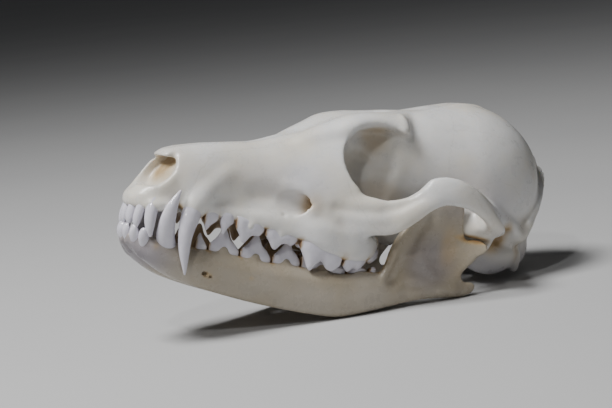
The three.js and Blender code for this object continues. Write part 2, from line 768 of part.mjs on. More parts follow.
// A plain box in the line of the row, wide enough for the tooth and its lobes
function cheekSocket(start, end, outline, way, lumps) {
  const line = end.clone().sub(start).setZ(0);
  const turn = Math.atan2(line.y, line.x);
  const half = Math.max(...outline.map((row) => row[2]));
  const middle = start.clone().add(end).multiplyScalar(0.5);
  const slope = Math.abs(end.z - start.z) / 2;
  const box = new THREE.Box3(
    new THREE.Vector3(-line.length() / 2, -half, -ROOT_DEPTH - slope),
    new THREE.Vector3(line.length() / 2, half, ROOT_CLEARANCE + slope),
  );
  if (way < 0) [box.min.z, box.max.z] = [-box.max.z, -box.min.z];
  const toBox = new THREE.Matrix4().makeRotationZ(-turn);
  for (const piece of lumps) {
    const near = piece.clone().translate(-middle.x, -middle.y, -middle.z).applyMatrix4(toBox);
    near.computeBoundingBox();
    box.union(near.boundingBox);
  }
  box.expandByScalar(GAP);
  const size = box.getSize(new THREE.Vector3());
  const centre = box.getCenter(new THREE.Vector3());
  const cutter = new THREE.BoxGeometry(size.x, size.y, size.z);
  cutter.translate(centre.x, centre.y, centre.z);
  cutter.rotateZ(turn).translate(middle.x, middle.y, middle.z);
  return weld(cutter);
}

// All teeth of one row, each with its name, its solid and the hollow for its root
function row(pegs, cheek, way) {
  return [
    ...Object.entries(pegs).map(([name, table]) => pegTooth(name, table)),
    ...Object.entries(cheek).map(([name, data]) => cheekTooth(name, data, way)),
  ];
}

const upperRow = row(UPPER_PEGS, UPPER_CHEEK, -1);
const lowerRow = row(LOWER_PEGS, LOWER_CHEEK, 1);
const extraPremolar = cheekTooth("extra_premolar", EXTRA_PREMOLAR, -1);

// The object

const skull = new THREE.Group();

function addPiece(name, geometry, material) {
  const mesh = new THREE.Mesh(geometry, material);
  mesh.name = name;
  skull.add(mesh);
}

function addBothSides(name, geometry, material) {
  addPiece(`right_${name}`, geometry, material);
  addPiece(`left_${name}`, mirrored(geometry), material);
}

const cranium = cut(join(craniumParts()), [
  ...craniumHollows(),
  ...bothSides(upperRow.map((tooth) => tooth.socket)),
  mirrored(extraPremolar.socket),
]);
const jaw = cut(jawHalf(), lowerRow.map((tooth) => tooth.socket));

addPiece("cranium", geometryOf(cranium), BONE);
addBothSides("jaw_half", geometryOf(jaw), JAW_BONE);
for (const { name, tooth } of upperRow) addBothSides(`upper_${name}`, geometryOf(tooth), ENAMEL);
for (const { name, tooth } of lowerRow) addBothSides(`lower_${name}`, geometryOf(tooth), ENAMEL);
addPiece("left_upper_extra_premolar", mirrored(geometryOf(extraPremolar.tooth)), ENAMEL);

// Tipped nose up, with the origin under the middle of the skull, on the ground
skull.rotation.y = NOSE_UP;
skull.updateMatrixWorld(true);
const extent = new THREE.Box3().setFromObject(skull, true);
const middle = extent.getCenter(new THREE.Vector3());
skull.position.set(-middle.x, -middle.y, -extent.min.z);

const part = new THREE.Group();
part.add(skull);

export default part;
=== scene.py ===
import math

import bpy
import numpy as np
from mathutils import Matrix, Vector


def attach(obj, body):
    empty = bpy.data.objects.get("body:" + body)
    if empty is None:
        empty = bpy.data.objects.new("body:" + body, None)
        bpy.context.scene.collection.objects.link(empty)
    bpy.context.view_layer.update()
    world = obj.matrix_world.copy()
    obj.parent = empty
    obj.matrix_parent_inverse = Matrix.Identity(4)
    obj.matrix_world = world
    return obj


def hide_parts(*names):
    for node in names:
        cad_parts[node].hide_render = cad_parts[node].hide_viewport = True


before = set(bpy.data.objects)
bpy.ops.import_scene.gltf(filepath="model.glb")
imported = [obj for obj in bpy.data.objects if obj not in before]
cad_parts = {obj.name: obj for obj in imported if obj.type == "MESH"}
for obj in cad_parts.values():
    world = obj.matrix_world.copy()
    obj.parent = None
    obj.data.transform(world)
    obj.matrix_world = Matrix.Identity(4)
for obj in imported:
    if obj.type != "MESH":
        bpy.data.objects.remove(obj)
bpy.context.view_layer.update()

# All tables are in millimetres in the skull's own frame: x rearwards from the front teeth,
# y to the side, z up from the upper gum line. The skull rests tipped nose up.
NOSE_UP = math.radians(17.6436)
SKULL_PLACE = (-76.169, 0.0, 45.555)
MM = 0.001

# How fine each skin is, in millimetres.
FIRST_VOXEL = 0.6
BONE_VOXEL = 0.5
BRANCH_VOXEL = 0.45
JAW_VOXEL = 0.4
TOOTH_VOXEL = 0.22

# The fillet in sharp inner corners, in millimetres.
CRANIUM_FILLET = 1.2
JAW_FILLET = 0.8

# How often a surface is evened out: after fusing, where bodies melt together, at the end,
# and to find how deep its hollows lie.
EVEN_OUT = 6
MELT_TOGETHER = 60
LAST_TOUCH = 3
FIND_HOLLOWS = 24

# Steps of softening.
SOFT_LEVELS = 10

# The share of the cranium's faces that is kept.
CRANIUM_KEPT = 0.58

# The crest at the back of the braincase points away from here.
BRAIN_MIDDLE = (122, 0, 24)


# Shaping

def deselect_all():
    for piece in list(bpy.context.selected_objects):
        piece.select_set(False)


def select_only(*pieces):
    deselect_all()
    for piece in pieces:
        piece.select_set(True)
    bpy.context.view_layer.objects.active = pieces[0]


def add_object(name, operator, **settings):
    """The object that one of Blender's add operators makes."""
    deselect_all()
    operator(**settings)
    piece = bpy.context.object
    piece.name = name
    return piece


def vectors_of(piece, key):
    values = np.empty(len(piece.data.vertices) * 3, np.float32)
    piece.data.vertices.foreach_get(key, values)
    return values.reshape(-1, 3).astype(float)


def points_of(piece):
    return vectors_of(piece, "co")


def normals_of(piece):
    return vectors_of(piece, "normal")


def folded_points(piece):
    """The points as if all lay on the right side."""
    co = points_of(piece)
    return np.column_stack([co[:, 0], np.abs(co[:, 1]), co[:, 2]])


def set_points(piece, co):
    piece.data.vertices.foreach_set("co", np.ascontiguousarray(co, np.float32).ravel())
    piece.data.update()


def use_modifier(piece, kind, **settings):
    select_only(piece)
    modifier = piece.modifiers.new(kind.title(), kind)
    for key, value in settings.items():
        setattr(modifier, key, value)
    bpy.ops.object.modifier_apply(modifier=modifier.name)


def smooth_rows(table, count):
    """A station table read smoothly by its first column."""
    rows = np.array(table, float)
    keys = rows[:, 0]
    slopes = np.gradient(rows, keys, axis=0)
    at = np.linspace(keys[0], keys[-1], count)
    i = np.clip(np.searchsorted(keys, at, side="right") - 1, 0, len(keys) - 2)
    span = (keys[i + 1] - keys[i])[:, None]
    t = (at - keys[i])[:, None] / span
    return (
        (2 * t**3 - 3 * t**2 + 1) * rows[i]
        + (t**3 - 2 * t**2 + t) * span * slopes[i]
        + (3 * t**2 - 2 * t**3) * rows[i + 1]
        + (t**3 - t**2) * span * slopes[i + 1]
    )


def skin(name, rings):
    """A closed tube whose rings of points are given, starting from a flat grid."""
    count, around = rings.shape[:2]
    piece = add_object(name, bpy.ops.mesh.primitive_grid_add,
                       x_subdivisions=around, y_subdivisions=count - 1, size=2)
    co = points_of(piece)
    column = np.rint((co[:, 0] + 1) / 2 * around).astype(int) % around
    row = np.rint((co[:, 1] + 1) / 2 * (count - 1)).astype(int)
    set_points(piece, rings[row, column])
    bpy.ops.object.mode_set(mode="EDIT")
    bpy.ops.mesh.select_all(action="SELECT")
    bpy.ops.mesh.remove_doubles(threshold=1e-4)
    bpy.ops.mesh.fill_holes(sides=0)
    bpy.ops.mesh.select_all(action="SELECT")
    bpy.ops.mesh.normals_make_consistent(inside=False)
    bpy.ops.object.mode_set(mode="OBJECT")
    return piece


def loft(name, table, rings, around):
    """A body along x. Columns: x, y of the middle, top, bottom, half width, z where it is
    widest, and how square its upper and lower halves are (2 is an ellipse)."""
    rows = smooth_rows(table, rings)
    angle = np.linspace(0, 2 * math.pi, around, endpoint=False)
    c, s = np.cos(angle), np.sin(angle)
    x, y, top, bottom, half, level, upper, lower = rows.T[:, :, None]
    power = 2 / np.where(s >= 0, upper, lower)
    reach = np.where(s >= 0, top - level, level - bottom)
    ring = np.stack([
        np.broadcast_to(x, power.shape),
        y + half * np.sign(c) * np.abs(c) ** power,
        level + reach * np.sign(s) * np.abs(s) ** power,
    ], axis=2)
    return skin(name, ring)


def sweep(name, table, rings, around, outwards):
    """A body along a curved path. Columns: x, y, z, half height and half thickness; its
    height points the way that outwards gives."""
    table = np.array(table, float)
    keyed = np.column_stack([np.arange(len(table)), table])
    rows = smooth_rows(keyed, rings)[:, 1:]
    place = rows[:, :3]
    along = np.gradient(place, axis=0)
    along /= np.linalg.norm(along, axis=1)[:, None]
    side = np.cross(along, outwards(place))
    side /= np.linalg.norm(side, axis=1)[:, None]
    up = np.cross(side, along)
    angle = np.linspace(0, 2 * math.pi, around, endpoint=False)
    ring = (
        place[:, None, :]
        + side[:, None, :] * (rows[:, 4, None] * np.cos(angle))[:, :, None]
        + up[:, None, :] * (rows[:, 3, None] * np.sin(angle))[:, :, None]
    )
    return skin(name, ring)


def steady(x, y, z):
    """The same way at every place."""
    return lambda place: np.broadcast_to([x, y, z], place.shape)


upwards = steady(0, 0, 1)
rearwards = steady(1, 0, 0)
sideways = steady(0, 1, 0)


def from_brain(place):
    return place - np.array(BRAIN_MIDDLE)


def lump(name, middle, radii, turn_y=0, turn_z=0):
    """An ellipsoid, turned about y and then about z by degrees."""
    piece = add_object(name, bpy.ops.mesh.primitive_uv_sphere_add,
                       segments=40, ring_count=24, radius=1)
    turn = Matrix.Rotation(math.radians(turn_z), 4, "Z") @ Matrix.Rotation(
        math.radians(turn_y), 4, "Y")
    piece.data.transform(Matrix.Translation(middle) @ turn @ Matrix.Diagonal((*radii, 1)))
    return piece


def slab(name, side_view, low, high):
    """A plate with the given outline in x and z, between two distances from the midline."""
    piece = add_object(name, bpy.ops.mesh.primitive_circle_add,
                       vertices=len(side_view), radius=1, fill_type="NGON", location=(0, 0, 0))
    set_points(piece, np.array([[x, low, z] for x, z in side_view]))
    bpy.ops.object.mode_set(mode="EDIT")
    bpy.ops.mesh.select_all(action="SELECT")
    bpy.ops.mesh.extrude_region_move(
        TRANSFORM_OT_translate={"value": (0, high - low, 0)})
    bpy.ops.mesh.select_all(action="SELECT")
    bpy.ops.mesh.normals_make_consistent(inside=False)
    bpy.ops.object.mode_set(mode="OBJECT")
    return piece


def copy_of(piece, name):
    copy = piece.copy()
    copy.data = piece.data.copy()
    copy.name = name
    bpy.context.collection.objects.link(copy)
    return copy


def mirror(piece):
    """Takes the piece to the other side of the midline."""
    piece.data.transform(Matrix.Diagonal((1, -1, 1, 1)))
    piece.data.flip_normals()


def mirror_copy(piece, name):
    copy = copy_of(piece, name)
    mirror(copy)
    return copy


def both_sides(pieces):
    return pieces + [mirror_copy(piece, piece.name + "_mirrored") for piece in pieces]


def join(name, pieces):
    select_only(*pieces)
    bpy.ops.object.join()
    whole = bpy.context.object
    whole.name = name
    return whole


def remesh(piece, voxel):
    """One even skin around all of the piece."""
    use_modifier(piece, "REMESH", mode="VOXEL", voxel_size=voxel)


def fuse(name, pieces, voxel):
    """Overlapping closed bodies become one skin."""
    whole = join(name, pieces)
    remesh(whole, voxel)
    return whole


def close_creases(piece, radius, voxel):
    """Fills sharp inner corners with a fillet: swell, skin again, shrink, skin again."""
    for strength in (radius, -radius):
        use_modifier(piece, "DISPLACE", strength=strength, mid_level=0)
        remesh(piece, voxel)


def carve(piece, cutters):
    """Takes the cutters' volume out of the piece."""
    for cutter in cutters:
        use_modifier(piece, "BOOLEAN", operation="DIFFERENCE", object=cutter, solver="MANIFOLD")
        bpy.data.objects.remove(cutter)


def share_along(co, a, b):
    """The share of the way from a to b that is nearest to each point."""
    return np.clip(((co - a) @ (b - a)) / ((b - a) @ (b - a)), 0, 1)


def stroke_weight(co, path, reach):
    """1 on a path of points, falling softly to 0 at about twice the reach from it."""
    path = np.array(path, float)
    nearest = np.full(len(co), np.inf)
    for a, b in zip(path[:-1], path[1:]):
        t = share_along(co, a, b)
        nearest = np.minimum(nearest, np.linalg.norm(co - a - t[:, None] * (b - a), axis=1))
    return np.exp(-((nearest / reach) ** 2))


def sculpt(piece, strokes):
    """Raises or lowers the surface on both sides. Each stroke is a path, how far it reaches
    to the side and how high it stands."""
    folded = folded_points(piece)
    move = np.zeros(len(folded))
    for path, reach, height in strokes:
        move += height * stroke_weight(folded, path, reach)
    set_points(piece, points_of(piece) + normals_of(piece) * move[:, None])


def soften(piece, repeat, only=()):
    """Evens out the surface, all of it or only near the paths that are given."""
    folded = folded_points(piece)
    weight = np.zeros(len(folded)) if only else np.ones(len(folded))
    for path, reach in only:
        weight = np.maximum(weight, stroke_weight(folded, path, reach))
    group = piece.vertex_groups.new(name="soften")
    for level in range(1, SOFT_LEVELS + 1):
        chosen = np.nonzero(np.rint(weight * SOFT_LEVELS).astype(int) == level)[0]
        if len(chosen):
            group.add(chosen.tolist(), level / SOFT_LEVELS, "REPLACE")
    use_modifier(piece, "SMOOTH", factor=0.5, iterations=repeat, vertex_group="soften")
    piece.vertex_groups.clear()


# A cheek tooth longer than this has two roots, with a point of bone between them: its half
# length as a share of the tooth's, its two other radii, and how far it is set out and up.
TWO_ROOTS_FROM = 6
GUM_SHARE = 0.19
GUM_REACH = (1.4, 1.7)
GUM_SHIFT = (0.6, 0.3)


def gum_points(table, way):
    """The points of bone between the two roots of each cheek tooth."""
    points = []
    for name, (start, end, _, _) in table.items():
        x, y, z = (np.array(start) + np.array(end)) / 2
        length = end[0] - start[0]
        if length > TWO_ROOTS_FROM:
            middle = (x, y + GUM_SHIFT[0], z + way * GUM_SHIFT[1])
            points.append(lump(f"{name}_gum", middle, (GUM_SHARE * length, *GUM_REACH)))
    return points


def place_on_ground(piece):
    """From the skull's own frame in millimetres to where it rests, in metres."""
    turn = Matrix.Rotation(NOSE_UP, 4, "Y")
    move = Matrix.Translation(Vector(SKULL_PLACE))
    piece.data.transform(Matrix.Scale(MM, 4) @ move @ turn)


# Cranium

FACE = [
    [-0.1, 0, 3.6, 0.6, 3, 2, 2, 2],
    [0.9, 0, 4.8, 0.4, 5.2, 2.4, 2, 2.4],
    [3.4, 0, 8.2, 0.7, 7.2, 3.2, 2.2, 3],
    [5.8, 0, 12.6, 1.1, 8.4, 4.2, 2.4, 3],
    [8.6, 0, 17.8, 1.5, 9, 5, 2.5, 3],
    [12, 0, 20, 1.8, 9.2, 5.4, 2.4, 3],
    [16.5, 0, 21.4, 2, 10.6, 5, 2.2, 3],
    [22, 0, 22.8, 2, 11.2, 5, 2.15, 3],
    [28, 0, 24, 2, 11.2, 4.6, 2.15, 3],
    [34, 0, 25.1, 1.8, 11.9, 4.2, 2.2, 3],
    [40, 0, 26.3, 1.5, 13, 4, 2.2, 3],
    [46, 0, 28.5, 1, 14.8, 3.8, 2.2, 3],
    [52, 0, 31.1, 0.6, 17, 3.6, 2.2, 3],
    [58, 0, 33.7, 0, 19.3, 4.4, 2.3, 3],
    [63, 0, 35.9, -0.6, 21.2, 6, 2.3, 3],
    [69, 0, 38.3, -1.2, 23.2, 8, 2.3, 3],
]

TOOTH_RIDGE = [
    [20, 9.4, 5, 0.8, 2.6, 3.2, 2.4, 3.6],
    [32, 10.1, 5, 0, 2.5, 2.6, 2.4, 3.6],
    [42, 12.3, 5, -0.9, 2.7, 2, 2.4, 3.6],
    [52, 15, 5, -2.2, 3, 1.2, 2.4, 3.6],
    [57, 16.6, 5.4, -3.8, 3.9, 0.6, 2.4, 3.6],
    [66, 17.6, 5.4, -6.5, 4.7, 0, 2.4, 3.6],
    [73, 16.9, 3.6, -6.9, 5.9, -1.2, 2.4, 3.4],
    [79, 15.6, 2.8, -5.6, 4.4, -1.2, 2.4, 3],
    [83.5, 13, 2.4, -2.6, 2, 0, 2, 2],
]

BRAINCASE = [
    [60, 0, 33.6, 0, 9.2, 17, 2.6, 3.5],
    [70, 0, 37.8, -1, 8.8, 19, 2.6, 3.5],
    [78, 0, 40.4, 2, 8.4, 23, 2.6, 3],
    [82, 0, 42, 4, 9.4, 28, 2.6, 2.6],
    [86, 0, 43, 5, 13.2, 32, 2.7, 2.3],
    [91, 0, 44.4, 6.6, 15, 32.5, 2.7, 2.1],
    [96, 0, 45.8, 7, 17.2, 32, 2.5, 2],
    [101, 0, 47.3, 7, 19.4, 30, 2.3, 2],
    [107, 0, 49, 7, 21.8, 28.5, 2.1, 2.1],
    [114, 0, 50.7, 7, 24, 26.5, 2.05, 2.2],
    [121, 0, 51.1, 7, 24.4, 25, 2.05, 2.3],
    [128, 0, 49.9, 7, 23.6, 24, 2.05, 2.4],
    [134, 0, 47.4, 6.8, 21.8, 23, 2.05, 2.4],
    [139, 0, 44.3, 6.6, 19.2, 21.5, 2, 2.4],
    [143, 0, 40.8, 6.8, 15.4, 20, 2, 2.4],
    [146, 0, 37.2, 8.4, 11.4, 20, 2, 2.2],
    [148.4, 0, 33.6, 12, 7, 20, 2, 2.2],
]

BROW = [
    [47, 0, 27.6, 22, 7, 24.6, 2.4, 2],
    [52, 0, 31, 24.6, 9.4, 27, 2.7, 1.6],
    [58, 0, 34.5, 27.2, 11.6, 29.4, 3, 1.5],
    [63, 0, 37, 29.6, 13.4, 31.8, 3, 1.4],
    [68, 0, 39.3, 32.2, 14.9, 34.6, 3, 1.35],
    [73, 0, 40.9, 34.6, 14.4, 36.6, 3, 1.3],
    [78, 0, 42, 35.8, 14.7, 37.8, 2.9, 1.3],
    [82.5, 0, 43.2, 35.4, 16, 37.6, 2.6, 1.3],
    [86, 0, 44.1, 34.6, 17.6, 36.4, 2.3, 1.3],
    [88, 0, 44.6, 34.8, 15.4, 37, 2.3, 1.4],
    [91, 0, 45.1, 36.4, 12.4, 38.4, 2.3, 1.6],
    [99, 0, 46.6, 39.6, 9, 41.4, 2.1, 2],
]

THROAT_WALLS = [
    [66, 0, 10, -1.4, 13.4, 3, 3, 4],
    [73, 0, 11, -2.6, 11.6, 3.4, 3, 4],
    [78, 0, 12, -2.9, 7.8, 5, 3, 4],
    [86, 0, 14, -1.8, 7, 6, 3, 4],
    [95, 0, 14, -0.6, 7, 7, 3, 4],
    [102, 0, 13, -0.4, 7.2, 7, 3, 4],
    [104.5, 0, 12, 3.4, 6.8, 8, 3, 3],
]

ARCH = [
    [60, 14.4, 8, 5.4, 2.6],
    [66, 18.8, 8.2, 7.4, 3.4],
    [73, 23.8, 8.4, 6.4, 2.7],
    [78.5, 26.8, 9, 5.9, 2.2],
    [83, 29.6, 12.4, 5, 2],
    [87, 32.2, 17, 4.9, 1.9],
    [91, 34.6, 19.8, 4.9, 1.8],
    [96, 36.4, 20.2, 4.5, 1.8],
    [101.5, 37, 18.8, 3.7, 1.9],
    [107, 36.7, 16.1, 2.8, 2],
    [111.8, 35.2, 13.2, 2.4, 2.4],
    [115.6, 31.6, 11, 2.2, 3.6],
    [117, 26.8, 10.6, 2.4, 5],
    [117.6, 20.6, 12, 3.6, 5.4],
]

# From the arch's rear end over the ear opening to the side of the braincase.
ARCH_CREST = [
    [98, 36, 22.4, 1.8, 1.2],
    [104, 34.6, 20.6, 2, 1.5],
    [109.6, 31.6, 18.2, 2.6, 1.7],
    [114.6, 27.8, 16, 3.4, 2],
    [119.6, 24.4, 14.6, 3.2, 2],
    [126, 22.4, 13.6, 2.4, 1.8],
    [131, 20.8, 12.6, 2, 1.6],
]

NUCHAL_CREST = [
    [147.4, -1.4, 34.6, 3.8, 1.1],
    [146.2, 5.2, 32.8, 4.2, 0.9],
    [144.2, 9.2, 30, 4.5, 0.9],
    [141.6, 12.8, 25.8, 4.6, 0.9],
    [139, 15.8, 21.4, 4.6, 0.9],
    [136.6, 18, 16.6, 4.2, 1],
    [135.2, 19.2, 12.4, 3.2, 1.3],
    [130.5, 21, 11.4, 2.2, 1.6],
]

SAGITTAL_CREST = [
    [104, 0, 46.6, 1, 2],
    [116, 0, 50.3, 1, 1.6],
    [130, 0, 48.6, 1.3, 1.1],
    [141, 0, 41.8, 2, 1.1],
    [149.2, 0, 35.8, 2.4, 1.4],
]

# The wall in front of the jaw's joint, from inside the jaw's branch out to the cheek arch.
JOINT_FRONT = [
    [102, 18.6, 12.2, 2.6, 2],
    [106.6, 22, 11.9, 4.4, 2.3],
    [110.6, 25.2, 11.5, 4.7, 2.6],
    [114.4, 28, 11, 4.3, 3],
    [117.6, 30.4, 11.4, 3, 2.2],
]

PAROCCIPITAL = [
    [135.5, 15.4, 10, 3.2, 2.6],
    [137, 15, 4, 2.6, 2],
    [138.2, 14.4, -2.2, 1.5, 1.3],
]

POSTGLENOID = [
    [118.2, 23, 10.6, 4.6, 1.8],
    [118.8, 22.6, 6.4, 4, 1.3],
    [118.4, 22, 2.6, 2.4, 0.9],
]

NOSE_CAVITY = [
    [-5, 0, 14.4, 7.2, 5.6, 10.6, 2, 2.2],
    [4, 0, 15.4, 6.6, 6.4, 11, 2, 2.2],
    [9, 0, 16.6, 6.2, 6.9, 11, 2.2, 2.2],
    [14, 0, 18.4, 6.2, 6.8, 11.5, 2.2, 2.2],
    [30, 0, 19.5, 6.4, 5.6, 12, 2, 2],
]

EYE_SOCKET = [
    [78, 8.8, 28.4, 1.6, 2.4],
    [77.6, 9.4, 27.8, 5.4, 6.6],
    [77, 11.4, 27, 9, 9.8],
    [76.5, 15, 26.3, 11, 11.6],
    [76.2, 20, 25.9, 11.5, 12.1],
    [76, 27, 25.9, 11.4, 12],
    [76, 34, 26, 11.2, 11.6],
    [76, 42, 26, 11.2, 11.6],
]

INFRAORBITAL_CANAL = [
    [42, 15.6, 8.8, 2.6, 1.3],
    [48, 15.5, 8.6, 3.5, 1.8],
    [53.4, 15.6, 8.6, 3.5, 2],
    [58, 15.6, 8.8, 3, 1.9],
    [66, 17, 8.2, 2.8, 2],
    [74, 18.6, 8.4, 3.4, 2.4],
]

AIRWAY = [
    [77.5, 0, 8.2, -8, 4.6, 0, 3, 4],
    [84, 0, 9, -8, 5, 0, 3, 4],
    [96, 0, 8.4, -8, 5.2, 0, 3, 4],
    [108, 0, 6.8, -8, 5.4, 0, 3, 4],
]

FORAMEN_MAGNUM = [
    [132, 0, 19, 11.5, 5, 15, 2, 2],
    [140, 0, 21, 9.4, 6.8, 15, 2, 2],
    [152, 0, 23, 7.4, 7.6, 15, 2, 2],
]

# The rim of the nose opening seen from the side: on the left it is worn further back.
NOSE_RIM_LEFT = [
    [-6, 6.4], [3.2, 6.6], [6.4, 7.3], [8, 8.5], [9.1, 9.6], [10.2, 11], [11.3, 12.7],
    [11.6, 14.4], [11.6, 16.4], [-6, 16.4],
]
NOSE_RIM_RIGHT = [
    [-6, 4.4], [1.4, 4.9], [3.2, 6.2], [5, 8.6], [6.4, 10.6], [7.7, 12.7], [9, 14.7],
    [10.2, 16.4], [-6, 16.4],
]
NASAL_NOTCH_LEFT = [
    [-6, 15], [11.4, 15], [11.2, 16.2], [12.4, 17], [12.2, 18.2], [14.4, 18.9], [14.6, 24],
    [-6, 24],
]
NASAL_NOTCH_RIGHT = [[-6, 15], [9.8, 15], [12.0, 16.6], [13.8, 18.8], [14.0, 24], [-6, 24]]

# The rim that holds the front teeth, from the midline to behind the third.
INCISOR_RIDGE = [
    [1.2, 0, 1.1, 1.6, 1.5],
    [1.9, 3.2, 1.1, 1.6, 1.5],
    [3.8, 5.9, 1, 1.7, 1.6],
    [6.6, 7.8, 1.2, 2, 2.2],
    [10.8, 8.6, 1.8, 2.1, 2.1],
]

# The scrolls of thin bone that fill the nose, as one body with a sloping front, and the
# slots between them: middle and radii.
NOSE_FILL = [
    [8.4, 0, 8, 6.4, 3.4, 7.2, 2.4, 2.4],
    [9.4, 0, 10, 5, 5.6, 7.6, 2.6, 3],
    [10.8, 0, 12.6, 4.6, 6.6, 8.6, 3, 3],
    [12.6, 0, 15.2, 4.6, 7.2, 10, 3, 3],
    [14.4, 0, 17.2, 4.6, 7.6, 11, 3, 3],
    [17, 0, 18.6, 4.6, 7.6, 11, 2.6, 3],
    [30, 0, 20, 4.6, 7.4, 12, 2.6, 3],
]
NOSE_SLOTS = [
    ((11.6, 3.5, 8.6), (4, 2.2, 0.45)),
    ((13.2, 3.7, 11.4), (4, 2.4, 0.45)),
    ((15.4, 3.5, 14.4), (4, 2.1, 0.45)),
    ((12.6, 0, 11.2), (4.6, 0.4, 5.4)),
]

CANINE_ROOT = [
    [17, 8.6, -0.2, 3.9, 3.6],
    [20.2, 8.2, 4.6, 4.6, 5.2],
    [24.5, 7.4, 9, 4.4, 6],
    [29, 6.9, 12.4, 4.1, 5.6],
    [34.5, 6.2, 15.4, 3.6, 4.2],
]

# Strokes on the right side, which sculpt repeats on the left.
CRANIUM_STROKES = [
    ([[29, 11.2, 5.5], [37, 12.8, 8.5], [45, 14.6, 10.6]], 4.2, -1.1),
    ([[38, 13.4, 9.6], [45, 14.8, 9.3], [50, 16, 9.2]], 2.6, -0.7),
    ([[47, 14.6, 14.6], [53, 16.2, 13.4], [57, 17.8, 9.6], [55, 17.4, 5.2]], 1.7, 0.45),
    ([[56, 0, 32.8], [64, 0, 36.2], [74, 0, 39.3], [84, 0, 42.6]], 4.6, -1.5),
    ([[84, 0, 42.6], [98, 0, 46.6]], 4.4, -0.7),
    ([[66, 9.5, 38.6], [76, 10.4, 41.2]], 4.6, 0.5),
    ([[12, 0, 20], [24, 0, 23.2], [40, 0, 26.3], [52, 0, 31]], 1.6, -0.5),
    ([[86.4, 16.6, 36.8], [85.2, 14.4, 41.2], [86, 11.4, 43.8], [91, 9, 45.2], [100, 6.6, 47.4],
      [110, 4.4, 50], [122, 2.2, 51.2]], 1.1, 0.45),
    ([[62.5, 20.6, 9.4], [68.6, 24.4, 9.4], [74.2, 27.2, 10.2], [79.4, 29.8, 12.8],
      [85, 32.8, 17.2]], 1.8, -0.8),
    ([[66, 22.4, 5], [72, 25.6, 4.6], [78, 28, 6.4]], 3.4, -0.7),
    ([[57, 17.6, 3], [64, 20.6, 2.2], [72, 22.6, 2.6]], 2.4, 0.5),
    ([[143.6, 6.4, 36.4], [141.6, 11.2, 32], [139.2, 15, 26.4], [136.6, 18, 21], [134, 20.4, 16]],
     2.6, -0.5),
    ([[147.1, 7, 33.3], [144.8, 11.2, 30.3], [141.9, 14.9, 25.9], [138.9, 17.9, 21.2],
      [136.2, 20, 16.2], [134.6, 21.1, 11.8]], 1.3, -1),
    ([[138, 16, 6.8], [132, 18.8, 5.8], [127, 20, 6]], 2.2, -1.6),
    ([[148.6, 0, 22], [147.6, 0, 29]], 2.2, 0.6),
    ([[146, 6.5, 22], [144.6, 8, 28]], 3, -0.7),
    ([[106, 3, -0.6], [112, 5, 5.6]], 2, -0.4),
]

# Paths along which bodies run into each other without any edge.
SOFT_PARTS = [
    ([[72, 9, 30], [78, 9, 31], [84, 9, 28]], 4.5),
    ([[72, 9, 20], [80, 9, 18], [88, 9, 20]], 4.5),
    ([[26, 11.6, 10], [33, 10.6, 15.6], [38, 9.6, 19]], 4),
    ([[60, 18, 22], [61, 16, 30]], 3),
    ([[50, 8, 29], [56, 10, 32], [62, 12.6, 34]], 4),
    ([[90, 14.6, 32], [92, 14, 37], [98, 14, 39]], 3.6),
    ([[112, 24, 18], [120, 24, 17]], 2.4),
    ([[107, 24, 13], [111, 27, 12.6], [115, 30, 12]], 2.6),
]

# Rounded masses and openings: middle, radii, and turns about y and z.
EAR_BULLA = ((126.4, 13.4, 4.2), (10.6, 7.6, 8.6), 0, 14)
MASTOID = ((133.0, 19.0, 10.6), (5.0, 3.0, 3.6))
OCCIPITAL_CONDYLE = ((140.6, 8.4, 7.0), (4.8, 4.7, 7.4), -8)
JOINT_ROOF = ((114.6, 25.2, 11.2), (5.6, 7.6, 4.0))
FORAMEN_MOUTH = ((49.8, 16.6, 8.5), (2.7, 2.5, 4.1))
EAR_OPENING = ((124.6, 22.4, 8.0), (2.8, 3.6, 2.6))

# Cuts at the nose: the outline, and from where to where each goes from side to side.
NOSE_CUTS = {
    "nose_opening_left": (NOSE_RIM_LEFT, -12, 0.01),
    "nose_opening_right": (NOSE_RIM_RIGHT, 0, 12),
    "nasal_notch_left": (NASAL_NOTCH_LEFT, -12, -4.8),
    "nasal_notch_right": (NASAL_NOTCH_RIGHT, 5.4, 12),
}

# Small holes for vessels and nerves: their place and size.
CRANIUM_HOLES = [
    ((47.2, 15.4, 4.6), (0.9, 1.2, 0.6)),
    ((56.6, 13.6, 31.2), (0.4, 0.5, 0.4)),
    ((50.6, 15.6, 19.6), (0.4, 0.6, 0.4)),
    ((70.2, 7.2, 40.6), (0.45, 0.45, 0.6)),
    ((105.2, 8.2, 4.6), (1.6, 1.3, 1.5)),
    ((98.6, 8.8, 8.6), (1.3, 1.6, 1.2)),
    ((94.2, 9.2, 11.6), (1.5, 1.6, 1.1)),
    ((137.6, 9.6, -0.4), (1.2, 1, 1.2)),
    ((22, 2.6, -1), (4.2, 1.2, 4.2)),
]


def make_nose_scrolls():
    scrolls = loft("nose_scrolls", NOSE_FILL, 40, 48)
    slots = both_sides([lump("slot", *slot) for slot in NOSE_SLOTS])
    carve(scrolls, [join("slots", slots)])
    return scrolls


